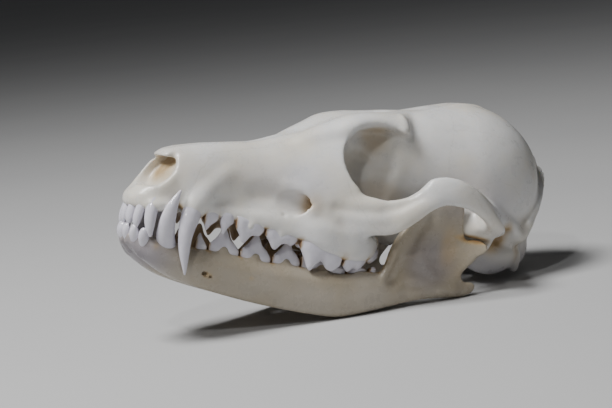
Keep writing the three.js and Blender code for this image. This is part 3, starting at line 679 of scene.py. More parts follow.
def make_cranium():
    middle = [
        loft("face", FACE, 90, 96),
        loft("braincase", BRAINCASE, 110, 110),
        loft("brow", BROW, 70, 80),
        loft("throat_walls", THROAT_WALLS, 40, 60),
        sweep("sagittal_crest", SAGITTAL_CREST, 60, 20, upwards),
    ]
    sides = both_sides([
        loft("tooth_ridge", TOOTH_RIDGE, 80, 48),
        sweep("cheek_arch", ARCH, 120, 40, upwards),
        sweep("nuchal_crest", NUCHAL_CREST, 60, 24, from_brain),
        sweep("paroccipital", PAROCCIPITAL, 24, 24, rearwards),
        sweep("postglenoid", POSTGLENOID, 24, 24, sideways),
        sweep("canine_root", CANINE_ROOT, 40, 32, sideways),
        sweep("incisor_ridge", INCISOR_RIDGE, 40, 24, upwards),
        lump("ear_bulla", *EAR_BULLA),
        sweep("arch_crest", ARCH_CREST, 60, 24, upwards),
        lump("mastoid", *MASTOID),
        lump("occipital_condyle", *OCCIPITAL_CONDYLE),
        lump("joint_roof", *JOINT_ROOF),
        sweep("joint_front", JOINT_FRONT, 40, 32, upwards),
    ])
    sides += both_sides(gum_points(UPPER_CHEEK, -1))
    cranium = fuse("fox_cranium", middle + sides, FIRST_VOXEL)
    close_creases(cranium, CRANIUM_FILLET, BONE_VOXEL)
    carve(cranium, [
        loft("nose_cavity", NOSE_CAVITY, 30, 40),
        loft("airway", AIRWAY, 20, 40),
        loft("foramen_magnum", FORAMEN_MAGNUM, 12, 40),
    ] + [slab(name, *cut) for name, cut in NOSE_CUTS.items()])
    carve(cranium, both_sides([
        sweep("eye_socket", EYE_SOCKET, 60, 60, upwards),
        lump("foramen_mouth", *FORAMEN_MOUTH),
        sweep("infraorbital_canal", INFRAORBITAL_CANAL, 30, 24, upwards),
        lump("ear_opening", *EAR_OPENING),
    ]))
    cranium = fuse("fox_cranium", [cranium, make_nose_scrolls()], BONE_VOXEL)
    soften(cranium, EVEN_OUT)
    soften(cranium, MELT_TOGETHER, only=SOFT_PARTS)
    sculpt(cranium, CRANIUM_STROKES)
    holes = both_sides([lump("hole", *hole) for hole in CRANIUM_HOLES])
    carve(cranium, [join("holes", holes)])
    remesh(cranium, BONE_VOXEL)
    soften(cranium, LAST_TOUCH)
    use_modifier(cranium, "DECIMATE", ratio=CRANIUM_KEPT)
    return cranium


# Lower jaw

JAW_BODY = [
    [0.8, 1.6, -8, -11, 1.6, -9.6, 2, 2],
    [3.6, 2.8, -7.8, -13.3, 3.6, -10.6, 2.6, 2],
    [7, 4, -8, -15.9, 5, -12, 2.6, 2],
    [11, 4.9, -8.4, -18.2, 5.2, -12.8, 2.6, 2.1],
    [16, 5.7, -9.2, -20.2, 5, -14, 2.4, 2.2],
    [21, 6.8, -9.8, -21.4, 4.2, -15, 2.4, 2.2],
    [26, 8.2, -9.8, -22.3, 3.6, -15.6, 2.4, 2.3],
    [34, 9.6, -10.1, -23.4, 3.4, -16.4, 2.4, 2.3],
    [44, 11.3, -10.8, -24.4, 3.5, -17.4, 2.4, 2.3],
    [54, 13.3, -10.6, -25, 3.7, -17.4, 2.4, 2.3],
    [64, 15.6, -11, -25.2, 4, -17.4, 2.4, 2.3],
    [71, 17.3, -10.8, -24.9, 4, -16.8, 2.4, 2.2],
    [78, 19.2, -9, -22.6, 3.6, -15.2, 2.2, 2.2],
    [86, 20.9, -9, -19.6, 2.5, -14, 2, 2],
    [95, 22.3, -10.4, -16.2, 1.2, -13, 2, 2],
]

BRANCH_OUTLINE = [
    [81, -11.4], [83.4, -6.6], [84.8, 0.4], [87.8, 7.4], [91.4, 14.2], [95.2, 19.4],
    [99.4, 22.6], [103.6, 21.6], [106, 17], [107, 11.4], [108.2, 7.2], [110, 5.2],
    [113.8, 3.8], [113.2, 0.2], [110.8, -3], [109.2, -5.6], [110.6, -7.6], [113.4, -7.2],
    [114.9, -8.6], [113.8, -10.8], [111, -12.5], [107, -13.3], [101, -14.4], [95, -15.9],
    [88, -18.2], [80, -19],
]

ANGLE_LEDGE = [
    [102, 23.8, -12, 1.7, 2.3],
    [109, 25.2, -10.8, 1.8, 2.2],
    [114.4, 26, -9, 1.2, 1.4],
]

# Middle, radii and turns of the jaw's joint and of the cut for the chewing muscle.
JAW_CONDYLE = ((112.4, 26.2, 3.9), (3.1, 7.6, 2.6), 0, -6)
MUSCLE_HOLLOW = ((98, 36.4, 2), (20, 12.2, 24))

# Cut off at the midline, so that a narrow gap stays between the halves.
PAST_MIDLINE = ([[-10, -40], [40, -40], [40, 10], [-10, 10]], -20, 0.15)

# As on the cranium.
JAW_STROKES = [
    ([[81.6, 21.2, -13.4], [83.6, 22.3, -7], [85.8, 23.3, 2.6], [88.6, 23.9, 8],
      [91.6, 24.3, 13]], 1.2, 1.1),
    ([[86.4, 22.6, -11], [88.4, 23.6, -4], [91.4, 24.4, 4], [95.4, 25, 12]], 2.3, -1),
    ([[94, 24, -13.4], [100, 25, -12], [107, 26, -9]], 1.8, 0.5),
    ([[92, 25, -9], [100, 27, -10.4], [107, 28, -11]], 1.6, 0.7),
    ([[24, 9.4, -14], [40, 12.6, -14.5], [56, 16.4, -14.4], [70, 20, -14]], 2, 0.35),
    ([[20, 9.8, -20], [34, 12, -21.6], [50, 15.4, -22]], 2.6, -0.25),
    ([[5, 5.5, -14], [9, 8.4, -16], [13, 10, -17]], 2.6, 0.4),
    ([[1.6, 1.6, -11.5], [5, 2.2, -14.5]], 0.9, 0.35),
    ([[2.6, 4.4, -11.2], [6, 4.6, -15]], 1, 0.35),
]

JAW_HOLES = [
    ((25.2, 11.2, -17.2), (1, 1.6, 0.7)),
    ((27.2, 11.6, -17.9), (0.7, 1.6, 0.5)),
    ((40.2, 13, -16.5), (0.7, 1.2, 0.5)),
]

# The branch's place at its foot, how far it leans outwards for each millimetre rearwards
# and upwards, and how it thins upwards from a height on.
BRANCH_FOOT = (80, 19.8, -10)
BRANCH_LEAN = (0.18, 0.06)
BRANCH_HALF_THICKNESS = 1.7
BRANCH_THINS_FROM = 4
BRANCH_THINNING = 0.03
BRANCH_THINNEST = 0.5


def rounded_outline(outline, count):
    """A closed outline read smoothly through its points."""
    points = np.array(outline, float)
    n = len(points)
    at = np.linspace(0, n, count, endpoint=False)
    i = at.astype(int)
    t = (at - i)[:, None]
    p0, p1, p2, p3 = (points[(i + k) % n] for k in (-1, 0, 1, 2))
    return 0.5 * (
        2 * p1 + (p2 - p0) * t + (2 * p0 - 5 * p1 + 4 * p2 - p3) * t**2
        + (3 * p1 - p0 - 3 * p2 + p3) * t**3
    )


def make_branch():
    """The upright branch of the right jaw half: it leans outwards to the rear and upwards."""
    side_view = rounded_outline(BRANCH_OUTLINE, 160)
    plate = slab("jaw_branch", side_view, -BRANCH_HALF_THICKNESS, BRANCH_HALF_THICKNESS)
    remesh(plate, BRANCH_VOXEL)
    co = points_of(plate)
    x, y, z = co.T
    thin = np.clip(1 - BRANCH_THINNING * (z - BRANCH_THINS_FROM), BRANCH_THINNEST, 1)
    foot_x, foot_y, foot_z = BRANCH_FOOT
    back, up = BRANCH_LEAN
    co[:, 1] = foot_y + back * (x - foot_x) + up * (z - foot_z) + y * thin
    set_points(plate, co)
    return plate


def make_jaw_half():
    jaw = fuse("fox_jaw_half", [
        loft("jaw_body", JAW_BODY, 110, 48),
        make_branch(),
        lump("jaw_condyle", *JAW_CONDYLE),
        sweep("angle_ledge", ANGLE_LEDGE, 24, 24, upwards),
    ] + gum_points(LOWER_CHEEK, 1), JAW_VOXEL)
    close_creases(jaw, JAW_FILLET, JAW_VOXEL)
    carve(jaw, [
        slab("midline_block", *PAST_MIDLINE),
        lump("masseter_hollow", *MUSCLE_HOLLOW),
    ])
    remesh(jaw, JAW_VOXEL)
    soften(jaw, EVEN_OUT)
    sculpt(jaw, JAW_STROKES)
    carve(jaw, [join("holes", [lump("hole", *hole) for hole in JAW_HOLES])])
    remesh(jaw, JAW_VOXEL)
    soften(jaw, LAST_TOUCH)
    return jaw


# Teeth

UPPER_PEGS = {
    "incisor_1": [
        [5, 1.8, 6, 1.1, 0.9], [3, 1.8, 2, 1.6, 1.4], [1.8, 1.8, -1.4, 1.6, 1.6],
        [1.4, 1.9, -4, 1.3, 1.5], [1.5, 1.9, -5.6, 0.5, 0.9],
    ],
    "incisor_2": [
        [5.6, 4.4, 5.8, 1.2, 0.9], [3.9, 4.9, 2, 1.5, 1.5], [2.7, 5.2, -1.6, 1.45, 1.6],
        [2.3, 5.3, -4.4, 1.25, 1.4], [2.4, 5.4, -6.4, 0.5, 0.7],
    ],
    "incisor_3": [
        [7.8, 6.8, 6.4, 1.3, 1.1], [6, 7.5, 1.6, 1.9, 1.7], [5.3, 8.2, -2.4, 1.85, 1.8],
        [5.5, 8.6, -5.8, 1.4, 1.4], [6.1, 8.8, -8.6, 0.5, 0.5],
    ],
    "canine": [
        [23.4, 8.6, 9.4, 1.8, 1.4], [20.6, 9.2, 6, 2.6, 1.9], [18.4, 10.2, 2.2, 3.1, 2.2],
        [16.9, 11.2, -2.4, 2.9, 2.1], [16.3, 11.8, -7, 2.3, 1.8], [16.7, 12, -11.5, 1.75, 1.4],
        [17.5, 12, -15.4, 1, 0.85], [18.2, 11.9, -18.5, 0.3, 0.3],
    ],
}

LOWER_PEGS = {
    "incisor_1": [
        [5, 1.6, -13.4, 0.8, 0.7], [3, 1.6, -11.2, 1.3, 1.1], [1.4, 1.6, -8.4, 1.5, 1.5],
        [1, 1.6, -6.6, 1, 1.4], [1.1, 1.6, -5.6, 0.4, 0.9],
    ],
    "incisor_2": [
        [6.2, 3.6, -14, 0.9, 0.7], [4.2, 4.2, -11.4, 1.5, 1.2], [2.6, 4.7, -8.4, 1.7, 1.5],
        [2.1, 4.9, -6.4, 1, 1.3], [2.2, 5, -5.6, 0.4, 0.8],
    ],
    "incisor_3": [
        [8.4, 4.8, -15, 1.1, 0.8], [6.2, 6.2, -12, 1.6, 1.3], [4.7, 7.1, -9, 1.7, 1.4],
        [4.4, 7.4, -7.2, 1.3, 1.2], [4.6, 7.5, -6.2, 0.6, 0.8],
    ],
    "canine": [
        [17.4, 6.2, -16.6, 1.9, 1.4], [13.6, 7.6, -12.4, 2.7, 1.9], [11.2, 8.8, -8, 3, 2.1],
        [10.4, 9.9, -3.6, 2.6, 1.9], [10.6, 10.7, 0.4, 2.1, 1.5], [11.5, 11, 4, 1.2, 1],
        [12.8, 11, 7, 0.3, 0.3],
    ],
}

# Each cheek tooth: the gum at its front and rear end (x, y, z), then its edge from front to
# rear as a share of the length, the height above the gum and half the thickness, then the
# lobes on the tongue side (x, y, z and three radii).
UPPER_CHEEK = {
    "premolar_1": ((22.2, 10.6, 0.6), (26.8, 10.8, 0.4), [
        [0, 1.6, 0.8], [0.22, 4.4, 1.15], [0.55, 2.8, 1.2], [1, 1, 0.7]], []),
    "premolar_2": ((32.6, 11.9, -0.1), (42.0, 13.0, -0.9), [
        [0, 1.4, 0.8], [0.16, 3.2, 1.3], [0.34, 5.8, 1.3], [0.4, 5.6, 1.35], [0.6, 3.2, 1.6],
        [0.76, 2.6, 1.5], [0.88, 2.5, 1.3], [1, 1.2, 0.8]], []),
    "premolar_3": ((42.5, 13.2, -0.9), (53.0, 15.4, -2.1), [
        [0, 1.4, 0.9], [0.16, 3.2, 1.5], [0.33, 5.4, 1.5], [0.39, 5.3, 1.55], [0.56, 3.2, 1.8],
        [0.72, 2.6, 1.7], [0.86, 2.8, 1.5], [1, 1.4, 0.9]], []),
    "premolar_4": ((53.6, 16.6, -2.6), (67.4, 19.8, -5.4), [
        [0, 1.6, 1], [0.14, 4.6, 2], [0.32, 8, 2.3], [0.44, 5.6, 2.3], [0.55, 3.9, 2.1],
        [0.68, 5.5, 2], [0.84, 5.6, 1.8], [1, 3.2, 0.9]], [(55.6, 13.6, -3.2, 2.1, 2.3, 1.9)]),
    "molar_1": ((68.4, 19.4, -5.6), (76.8, 19.0, -5.2), [
        [0, 2.6, 1.2], [0.26, 4.6, 2.1], [0.5, 3.4, 2.2], [0.72, 3.9, 2], [1, 1.6, 1]],
        [(72.4, 16, -5, 3.9, 3.4, 1.5), (72.8, 13, -4.4, 3, 2.6, 1.7)]),
    "molar_2": ((77.6, 17.8, -4.8), (82.6, 16.4, -3.6), [
        [0, 1.2, 0.9], [0.3, 2.2, 1.5], [0.7, 1.8, 1.5], [1, 0.9, 0.7]],
        [(79.8, 14.4, -3.8, 2.1, 2.9, 1.3)]),
}

EXTRA_PREMOLAR = ((27.8, 10.9, 0.4), (31.9, 11.4, 0.2), [
    [0, 1.6, 0.7], [0.34, 4.8, 1.1], [0.66, 2.6, 1.1], [1, 1, 0.6]], [])

LOWER_CHEEK = {
    "premolar_1": ((22.0, 7.5, -9.4), (25.6, 8.2, -9.4), [
        [0, 1.6, 0.8], [0.3, 4.4, 1.1], [0.6, 2.8, 1.1], [1, 1, 0.7]], []),
    "premolar_2": ((26.3, 8.2, -9.7), (36.2, 9.7, -9.9), [
        [0, 1.6, 0.8], [0.22, 4, 1.3], [0.44, 7.4, 1.2], [0.5, 7.2, 1.2], [0.68, 4.2, 1.5],
        [0.86, 2.8, 1.3], [1, 1.4, 0.8]], []),
    "premolar_3": ((36.7, 9.7, -10.1), (46.8, 11.4, -10.6), [
        [0, 1.6, 0.8], [0.24, 4.4, 1.4], [0.47, 7.7, 1.25], [0.53, 7.4, 1.25], [0.68, 4.6, 1.6],
        [0.86, 3, 1.4], [1, 1.4, 0.8]], []),
    "premolar_4": ((47.3, 11.4, -10.6), (56.4, 13.1, -10.3), [
        [0, 1.6, 0.9], [0.26, 4.4, 1.5], [0.5, 7.2, 1.35], [0.58, 6.8, 1.4], [0.7, 4.6, 1.6],
        [0.84, 3.4, 1.5], [1, 1.6, 0.8]], []),
    "molar_1": ((56.9, 13.1, -10.2), (71.6, 15.6, -10.4), [
        [0, 2.4, 1], [0.16, 5.2, 1.5], [0.28, 4.2, 1.6], [0.42, 6.4, 1.7], [0.56, 4, 1.9],
        [0.66, 2.6, 2.4], [0.88, 2.6, 2.3], [1, 1.4, 1.2]], []),
    "molar_2": ((72.0, 16.0, -10.0), (78.2, 17.3, -9.0), [
        [0, 1.4, 1.2], [0.25, 2.6, 2.2], [0.6, 2, 2.2], [1, 1.1, 1.1]], []),
    "molar_3": ((79.0, 18.2, -8.8), (81.4, 18.7, -8.2), [
        [0, 0.8, 0.8], [0.5, 1.2, 1.4], [1, 0.8, 0.8]], []),
}

# How deep a crown goes on below the gum, where it is widest above it, and how square its
# halves are towards the edge and towards the root.
ROOT_DEPTH = 2.2
WIDEST_ABOVE_GUM = 0.8
EDGE_SHAPE = 1.5
ROOT_SHAPE = 3


def make_peg_tooth(name, table):
    return fuse(name, [sweep(name, table, 60, 32, rearwards)], TOOTH_VOXEL)


def make_cheek_tooth(name, data, way):
    """way is 1 for a crown that points up, -1 for one that points down."""
    start, end, outline, lobes = data
    start, end = np.array(start), np.array(end)
    rows = []
    for share, height, half in outline:
        x, y, z = start + (end - start) * share
        edge = z + way * height
        root = z - way * ROOT_DEPTH
        widest = z + way * min(WIDEST_ABOVE_GUM, height / 3)
        if way > 0:
            rows.append([x, y, edge, root, half, widest, EDGE_SHAPE, ROOT_SHAPE])
        else:
            rows.append([x, y, root, edge, half, widest, ROOT_SHAPE, EDGE_SHAPE])
    pieces = [loft(name, rows, 60, 36)]
    pieces += [lump(f"{name}_lobe", lobe[:3], lobe[3:]) for lobe in lobes]
    return fuse(name, pieces, TOOTH_VOXEL)


# Materials

def linear(code):
    """An sRGB hex value as linear red, green, blue and alpha."""
    parts = [int(code[i:i + 2], 16) / 255 for i in (1, 3, 5)]
    return [p / 12.92 if p <= 0.04045 else ((p + 0.055) / 1.055) ** 2.4 for p in parts] + [1]


def add_node(tree, kind, links=(), **settings):
    """A node with its settings, and its inputs linked or set by name or number."""
    node = tree.nodes.new(kind)
    for key, value in settings.items():
        setattr(node, key, value)
    for socket, value in dict(links).items():
        if isinstance(value, bpy.types.NodeSocket):
            tree.links.new(value, node.inputs[socket])
        else:
            node.inputs[socket].default_value = value
    return node


def noise(tree, place, grain, detail, roughness=0.5):
    """Cloudy values between 0 and 1; the grain is in metres."""
    return add_node(tree, "ShaderNodeTexNoise", {
        "Vector": place, "Scale": 1 / grain, "Detail": detail, "Roughness": roughness,
    }).outputs["Fac"]


def stretch(tree, value, low, high, to_low, to_high):
    """Maps the range from low to high onto another one, and never leaves that one."""
    return add_node(tree, "ShaderNodeMapRange", {
        "Value": value, "From Min": low, "From Max": high, "To Min": to_low, "To Max": to_high,
    }).outputs[0]


def mix(tree, share, first, second, blend_type="MIX"):
    """The first colour with a share of the second."""
    return add_node(tree, "ShaderNodeMix", {0: share, 6: first, 7: second},
                    data_type="RGBA", blend_type=blend_type).outputs[2]


def calculate(tree, operation, *values):
    return add_node(tree, "ShaderNodeMath", dict(enumerate(values)),
                    operation=operation).outputs[0]


def stored(tree, *names):
    """What colour_in stored on the surface under these names."""
    return [add_node(tree, "ShaderNodeAttribute", attribute_name=name).outputs["Fac"]
            for name in names]


def tint(tree, colour, value, tones, strongest):
    """Each tone comes in as the value goes from its low to its high."""
    for low, high, tone in tones:
        share = stretch(tree, value, low, high, 0, strongest)
        colour = mix(tree, share, colour, linear(tone))
    return colour


def new_material(name, ior):
    material = bpy.data.materials.new(name)
    material.use_nodes = True
    tree = material.node_tree
    shader = tree.nodes["Principled BSDF"]
    shader.inputs["IOR"].default_value = ior
    return material, tree, shader, add_node(tree, "ShaderNodeTexCoord").outputs["Object"]


def connect(tree, shader, colour, gloss, rise, bump, glow):
    """bump is its strength and height. glow is how strongly light spreads under the surface,
    its shares of red, green and blue, and how far. Both are in millimetres."""
    tree.links.new(colour, shader.inputs["Base Color"])
    tree.links.new(gloss, shader.inputs["Roughness"])
    relief = add_node(tree, "ShaderNodeBump", {
        "Height": rise, "Strength": bump[0], "Distance": bump[1] * MM})
    tree.links.new(relief.outputs["Normal"], shader.inputs["Normal"])
    shader.inputs["Subsurface Weight"].default_value = glow[0]
    shader.inputs["Subsurface Radius"].default_value = glow[1]
    shader.inputs["Subsurface Scale"].default_value = glow[2] * MM


# Most of a noise lies between these values.
NOISE_SPAN = (0.3, 0.7)

# Each tone with the values between which it comes in.
# Tan and brown, for stain and for painted shade alike.
BONE_STAIN_AND_SHADE = ((0.0, 0.55, "#b79c6e"), (0.45, 1.0, "#6a4526"))
ENAMEL_STAIN_AND_SHADE = ((0.1, 0.6, "#b49a72"), (0.45, 1.0, "#68431f"))
# Painted shade that darkens hollows and creases, by how deep they lie.
BONE_HOLLOW_SHADE = ((0.05, 0.9, "#a08b6c"),)
ENAMEL_HOLLOW_SHADE = ((0.02, 0.35, "#a79a8c"),)
SEAM_TONE = "#8a7f70"
SEAM_SHARE = 0.12

# What bone's relief is made of; the joints are grooves.
MOTTLE_RISE = 1.6
PORE_RISE = 0.35
SEAM_RISE = -0.25


def make_bone(name, pale, warm, cool_shade, rough):
    """Dense cleaned bone: matt to waxy, mottled over 20 mm, with fine pores. Tan and brown lie on
    it as stain in places and as painted shade in deep recesses and on the tongue side, painted
    shade darkens its hollows and, in cool grey, its shaded faces, and thin wavy joints cross it."""
    material, tree, shader, place = new_material(name, ior=1.55)
    patches = noise(tree, place, 20 * MM, detail=3)
    mottle = noise(tree, place, 5 * MM, detail=4, roughness=0.6)
    pores = noise(tree, place, 0.6 * MM, detail=2, roughness=0.6)
    wave = noise(tree, place, 1.6 * MM, detail=1)
    stain_and_shade, cool_shade_share, hollow, seam = stored(tree, "stain_and_shade", "cool_shade", "hollow", "seam")

    colour = tint(tree, linear(pale), patches, ((0.42, 0.66, warm),), 0.75)
    # Painted shade in cool grey.
    colour = mix(tree, cool_shade_share, colour, linear(cool_shade))
    fleck = stretch(tree, mottle, *NOISE_SPAN, 0.93, 1.03)
    colour = mix(tree, 1.0, colour, fleck, "MULTIPLY")
    # Painted shade in the hollows and creases.
    colour = tint(tree, colour, hollow, BONE_HOLLOW_SHADE, 0.55)
    # Tan and brown: stain, and painted shade in recesses, between teeth and on the tongue side.
    uneven = stretch(tree, mottle, *NOISE_SPAN, 0.75, 1.2)
    patchy_stain_and_shade = calculate(tree, "MULTIPLY", stain_and_shade, uneven)
    colour = tint(tree, colour, patchy_stain_and_shade, BONE_STAIN_AND_SHADE, 0.92)

    bend = stretch(tree, wave, *NOISE_SPAN, -0.45, 0.45)
    off = calculate(tree, "ABSOLUTE", calculate(tree, "ADD", seam, bend))
    line = stretch(tree, off, 0.05, 0.26, 1, 0)
    line_share = calculate(tree, "MULTIPLY", line, SEAM_SHARE)
    colour = mix(tree, line_share, colour, linear(SEAM_TONE))

    gloss = stretch(tree, mottle, *NOISE_SPAN, rough - 0.06, rough + 0.08)
    rise = calculate(tree, "MULTIPLY", mottle, MOTTLE_RISE)
    rise = calculate(tree, "MULTIPLY_ADD", pores, PORE_RISE, rise)
    rise = calculate(tree, "MULTIPLY_ADD", line, SEAM_RISE, rise)
    connect(tree, shader, colour, gloss, rise,
            bump=(0.5, 0.16), glow=(0.12, (1.0, 0.75, 0.55), 1.2))
    return material


def make_enamel(name):
    """Tooth enamel: a hard glassy skin, bluish white where it is thick, with faint bands of
    growth, painted shade in its hollows, and brown, partly stain and partly painted shade, where
    it meets the gum and the next tooth and on its tongue side."""
    material, tree, shader, place = new_material(name, ior=1.62)
    cloud = noise(tree, place, 3 * MM, detail=3, roughness=0.55)
    bands = add_node(tree, "ShaderNodeTexWave", {
        "Vector": place, "Scale": 1 / (9 * MM), "Distortion": 3.0, "Detail": 2.0,
        "Detail Scale": 1.2}, bands_direction="Z").outputs["Fac"]
    stain_and_shade, hollow = stored(tree, "stain_and_shade", "hollow")
    colour = mix(tree, cloud, linear("#e6e4ea"), linear("#cbc8d4"))
    # Painted shade in the hollows and creases.
    colour = tint(tree, colour, hollow, ENAMEL_HOLLOW_SHADE, 0.5)
    # Brown: stain at the tooth necks, and painted shade between teeth and on the tongue side.
    colour = tint(tree, colour, stain_and_shade, ENAMEL_STAIN_AND_SHADE, 0.9)
    gloss = stretch(tree, stain_and_shade, 0.1, 0.8, 0.08, 0.4)
    rise = calculate(tree, "MULTIPLY_ADD", bands, 0.4, cloud)
    connect(tree, shader, colour, gloss, rise,
            bump=(0.35, 0.12), glow=(0.15, (0.8, 0.9, 1.0), 0.8))
    return material


def make_floor(name):
    """Matt painted board, pale and almost even."""
    material, tree, shader, place = new_material(name, ior=1.45)
    shader.inputs["Roughness"].default_value = 0.9
    cloud = noise(tree, place, 1 / 6, detail=3)
    colour = mix(tree, cloud, linear("#c0c0bf"), linear("#b8b8b9"))
    tree.links.new(colour, shader.inputs["Base Color"])
    return material


# The third colour of each bone is the cool grey of its painted shade.
bleached_bone = make_bone("bleached_bone", "#e4e3e1", "#ddd6c6", "#c6c4cc", 0.3)
# The jaw's bone: its own warmer ivory, painted darker as shade.
jaw_bone_with_shade = make_bone("ivory_mandible_with_painted_shade", "#b0a798", "#a3967f", "#938e98", 0.27)
tooth_enamel = make_enamel("tooth_enamel")


# What the surface carries: stains with painted shade among them, painted shade in cool grey and in
# hollows, joints between bones

# Spots of tan and brown, partly stain (inside the nose, at the tooth necks) and partly painted
# shade (deep in the eye sockets, in the slit at the jaw's joint, in the ear, in small holes and
# further recesses): middle, reach along x, y and z, and depth; mirrored on the left.
STAINS_AND_SHADE = [
    ((18.8, 0, 12), (11, 8, 7.4), 0.66),
    ((12, 0, 10.4), (4, 7.2, 6), 0.56),
    ((79, 9, 33.5), (4.5, 5, 7), 0.28),
    ((84, 9.5, 17), (9, 4, 4), 0.22),
    ((122.5, 22, 7), (4.6, 5, 5), 0.62),
    ((111.5, 25, 6.4), (6.5, 8, 1.4), 0.85),
    ((124.6, 20, 8), (4, 4, 3.4), 0.7),
    ((126, 22.6, 9.8), (3, 3.6, 4.6), 0.6),
    ((57.5, 15.8, 9), (5, 3, 4.4), 0.6),
    ((134.6, 16, 5), (2.6, 3.6, 4), 0.35),
    ((20.6, 9.4, -1.6), (1.5, 2.2, 2.4), 0.75),
    ((14, 8.8, 1.2), (1.4, 1.8, 1.8), 0.6),
    ((3.6, 3.3, -0.4), (0.8, 1.2, 1.6), 0.55),
    ((8.6, 8, -11.4), (1.3, 1.4, 1.6), 0.6),
    ((19.6, 7.6, -9.6), (2.4, 1.6, 2.2), 0.6),
    ((84.2, 15, 0.2), (3.4, 5, 4.2), 0.62),
    ((26, 11.5, -17.6), (1.6, 1.8, 1), 0.4),
    ((40.2, 13, -16.5), (1.1, 1.4, 0.9), 0.4),
    ((104, 24, 3), (3.4, 2.4, 7), 0.25),
]
# The same for painted shade in cool grey, under the chin and the bulla, low on the jaw's branch,
# on shaded flanks of the face and braincase and at the condyle.
COOL_SHADE_PARTS = [
    ((5, 4, -14.5), (11, 10, 7), 0.8),
    ((127, 13, -1), (13, 9, 6.5), 0.75),
    ((98, 24, -3), (9, 4, 9), 0.5),
    ((110, 23, 20), (16, 8, 9), 0.45),
    ((46, 15, 15), (20, 8, 8), 0.4),
    ((141, 10, 4), (6, 6, 8), 0.5),
]
# Joints between the skull's bones.
SEAMS = [
    [[13, 0, 20], [28, 0, 24], [44, 0, 27], [58, 0, 33.7], [72, 0, 39], [88, 0, 44], [105, 0, 49]],
    [[17, 7.6, 18.4], [30, 7.4, 22.6], [44, 6.8, 26], [56, 6, 32], [63, 3.4, 35.6], [65, 0, 36.6]],
    [[15.6, 10.2, 1.4], [16.4, 9.8, 7], [19, 9, 14], [24, 7.6, 20.4]],
    [[85.6, 16.6, 36.2], [87, 14.4, 40.4], [90, 10, 43.8]],
    [[95.5, 35.6, 24.6], [100.6, 37.8, 20.6], [106.6, 38.2, 15.6], [111.4, 36.8, 12]],
    [[64.6, 19.6, 19], [67.6, 21.6, 12.6], [73.6, 24.6, 6.2], [79, 25.4, 3.6]],
    [[107, 21.6, 13.6], [110, 24.2, 21], [117, 25.2, 26.4], [126, 24.2, 26], [132, 22, 20]],
    [[104, 16.4, 40], [112, 19, 42], [122, 20, 41.6], [131, 17, 39.6]],
    [[103.6, 6, 48], [104.6, 12, 45.6], [104, 16.4, 40], [102.6, 17, 32], [104, 18, 24]],
]

# How near a point is beside a joint or at its end, and the distance that stands for none.
SEAM_REACH = 3.5
SEAM_END = 0.6
NO_SEAM = 99.0

# Painted shade, in brown, between the cheek teeth: height above the gum, reach along x, y and z,
# depth, and how it weakens, down to the least share, where the surface looks outwards.
GAP_RISE = 0.7
GAP_REACH = (0.75, 3.0, 2.6)
GAP_SHADE = 0.95
GAP_FADE = (1.25, 0.2)

# Painted shade, in brown, on the tongue side: its depth, how soon it is full as the surface turns
# inwards, its level in z and its reach, and where it comes in behind the chin and ends.
TONGUE_SHADE = 0.62
TONGUE_TURN = 1.6
TONGUE_LEVEL = -7
TONGUE_REACH = 9
CHIN_END = 14
CHIN_FADE = 10
TONGUE_END = 90


def store(piece, name, values):
    layer = piece.data.attributes.new(name, "FLOAT", "POINT")
    layer.data.foreach_set("value", np.ascontiguousarray(values, np.float32))


def spots(co, table):
    """The deepest of a table's spots at each point; each is flat inside and fades at its rim."""
    total = np.zeros(len(co))
    for middle, reach, depth in table:
        far = np.linalg.norm((co - middle) / reach, axis=1)
        total = np.maximum(total, depth * np.exp(-(far**4)))
    return total


def hollows(piece):
    """How far the surface lies in from its own softened shape, in millimetres."""
    even = copy_of(piece, "even")
    use_modifier(even, "SMOOTH", factor=0.8, iterations=FIND_HOLLOWS)
    depth = np.sum((points_of(even) - points_of(piece)) * normals_of(piece), axis=1)
    bpy.data.objects.remove(even)
    return depth


def seam_distance(piece):
    """Distance to the nearest joint, with a sign that tells its two sides apart."""
    co = folded_points(piece)
    normal = normals_of(piece)
    normal[:, 1] *= np.where(points_of(piece)[:, 1] < 0, -1, 1)
    best = np.full(len(co), NO_SEAM)
    for path in SEAMS:
        path = np.array(path, float)
        for a, b in zip(path[:-1], path[1:]):
            t = share_along(co, a, b)
            away = co - a - t[:, None] * (b - a)
            far = np.linalg.norm(away, axis=1)
            across = np.sum(away * np.cross(b - a, normal), axis=1) / np.linalg.norm(b - a)
            beside = (t > 0) & (t < 1) | (far < SEAM_END)
            near = np.where(beside & (far < SEAM_REACH), across, NO_SEAM)
            best = np.where(np.abs(near) < np.abs(best), near, best)
    return best


def tooth_gap_shade():
    """Painted shade where the cheek teeth meet each other at the gum."""
    gaps = []
    for table, way in ((UPPER_CHEEK, -1), (LOWER_CHEEK, 1)):
        for start, end, _, _ in table.values():
            for x, y, z in (start, end):
                gaps.append(((x, y, z + way * GAP_RISE), GAP_REACH, GAP_SHADE))
    return gaps


def tongue_side_shade(piece):
    """Painted shade, in brown, on the faces that look to the midline, from the jaw's rim to the
    palate.
    """
    co = points_of(piece)
    inwards = -normals_of(piece)[:, 1] * np.sign(co[:, 1])
    level = np.exp(-(((co[:, 2] - TONGUE_LEVEL) / TONGUE_REACH) ** 4))
    behind_chin = np.clip((co[:, 0] - CHIN_END) / CHIN_FADE, 0, 1) * (co[:, 0] < TONGUE_END)
    return TONGUE_SHADE * np.clip(inwards * TONGUE_TURN, 0, 1) * level * behind_chin


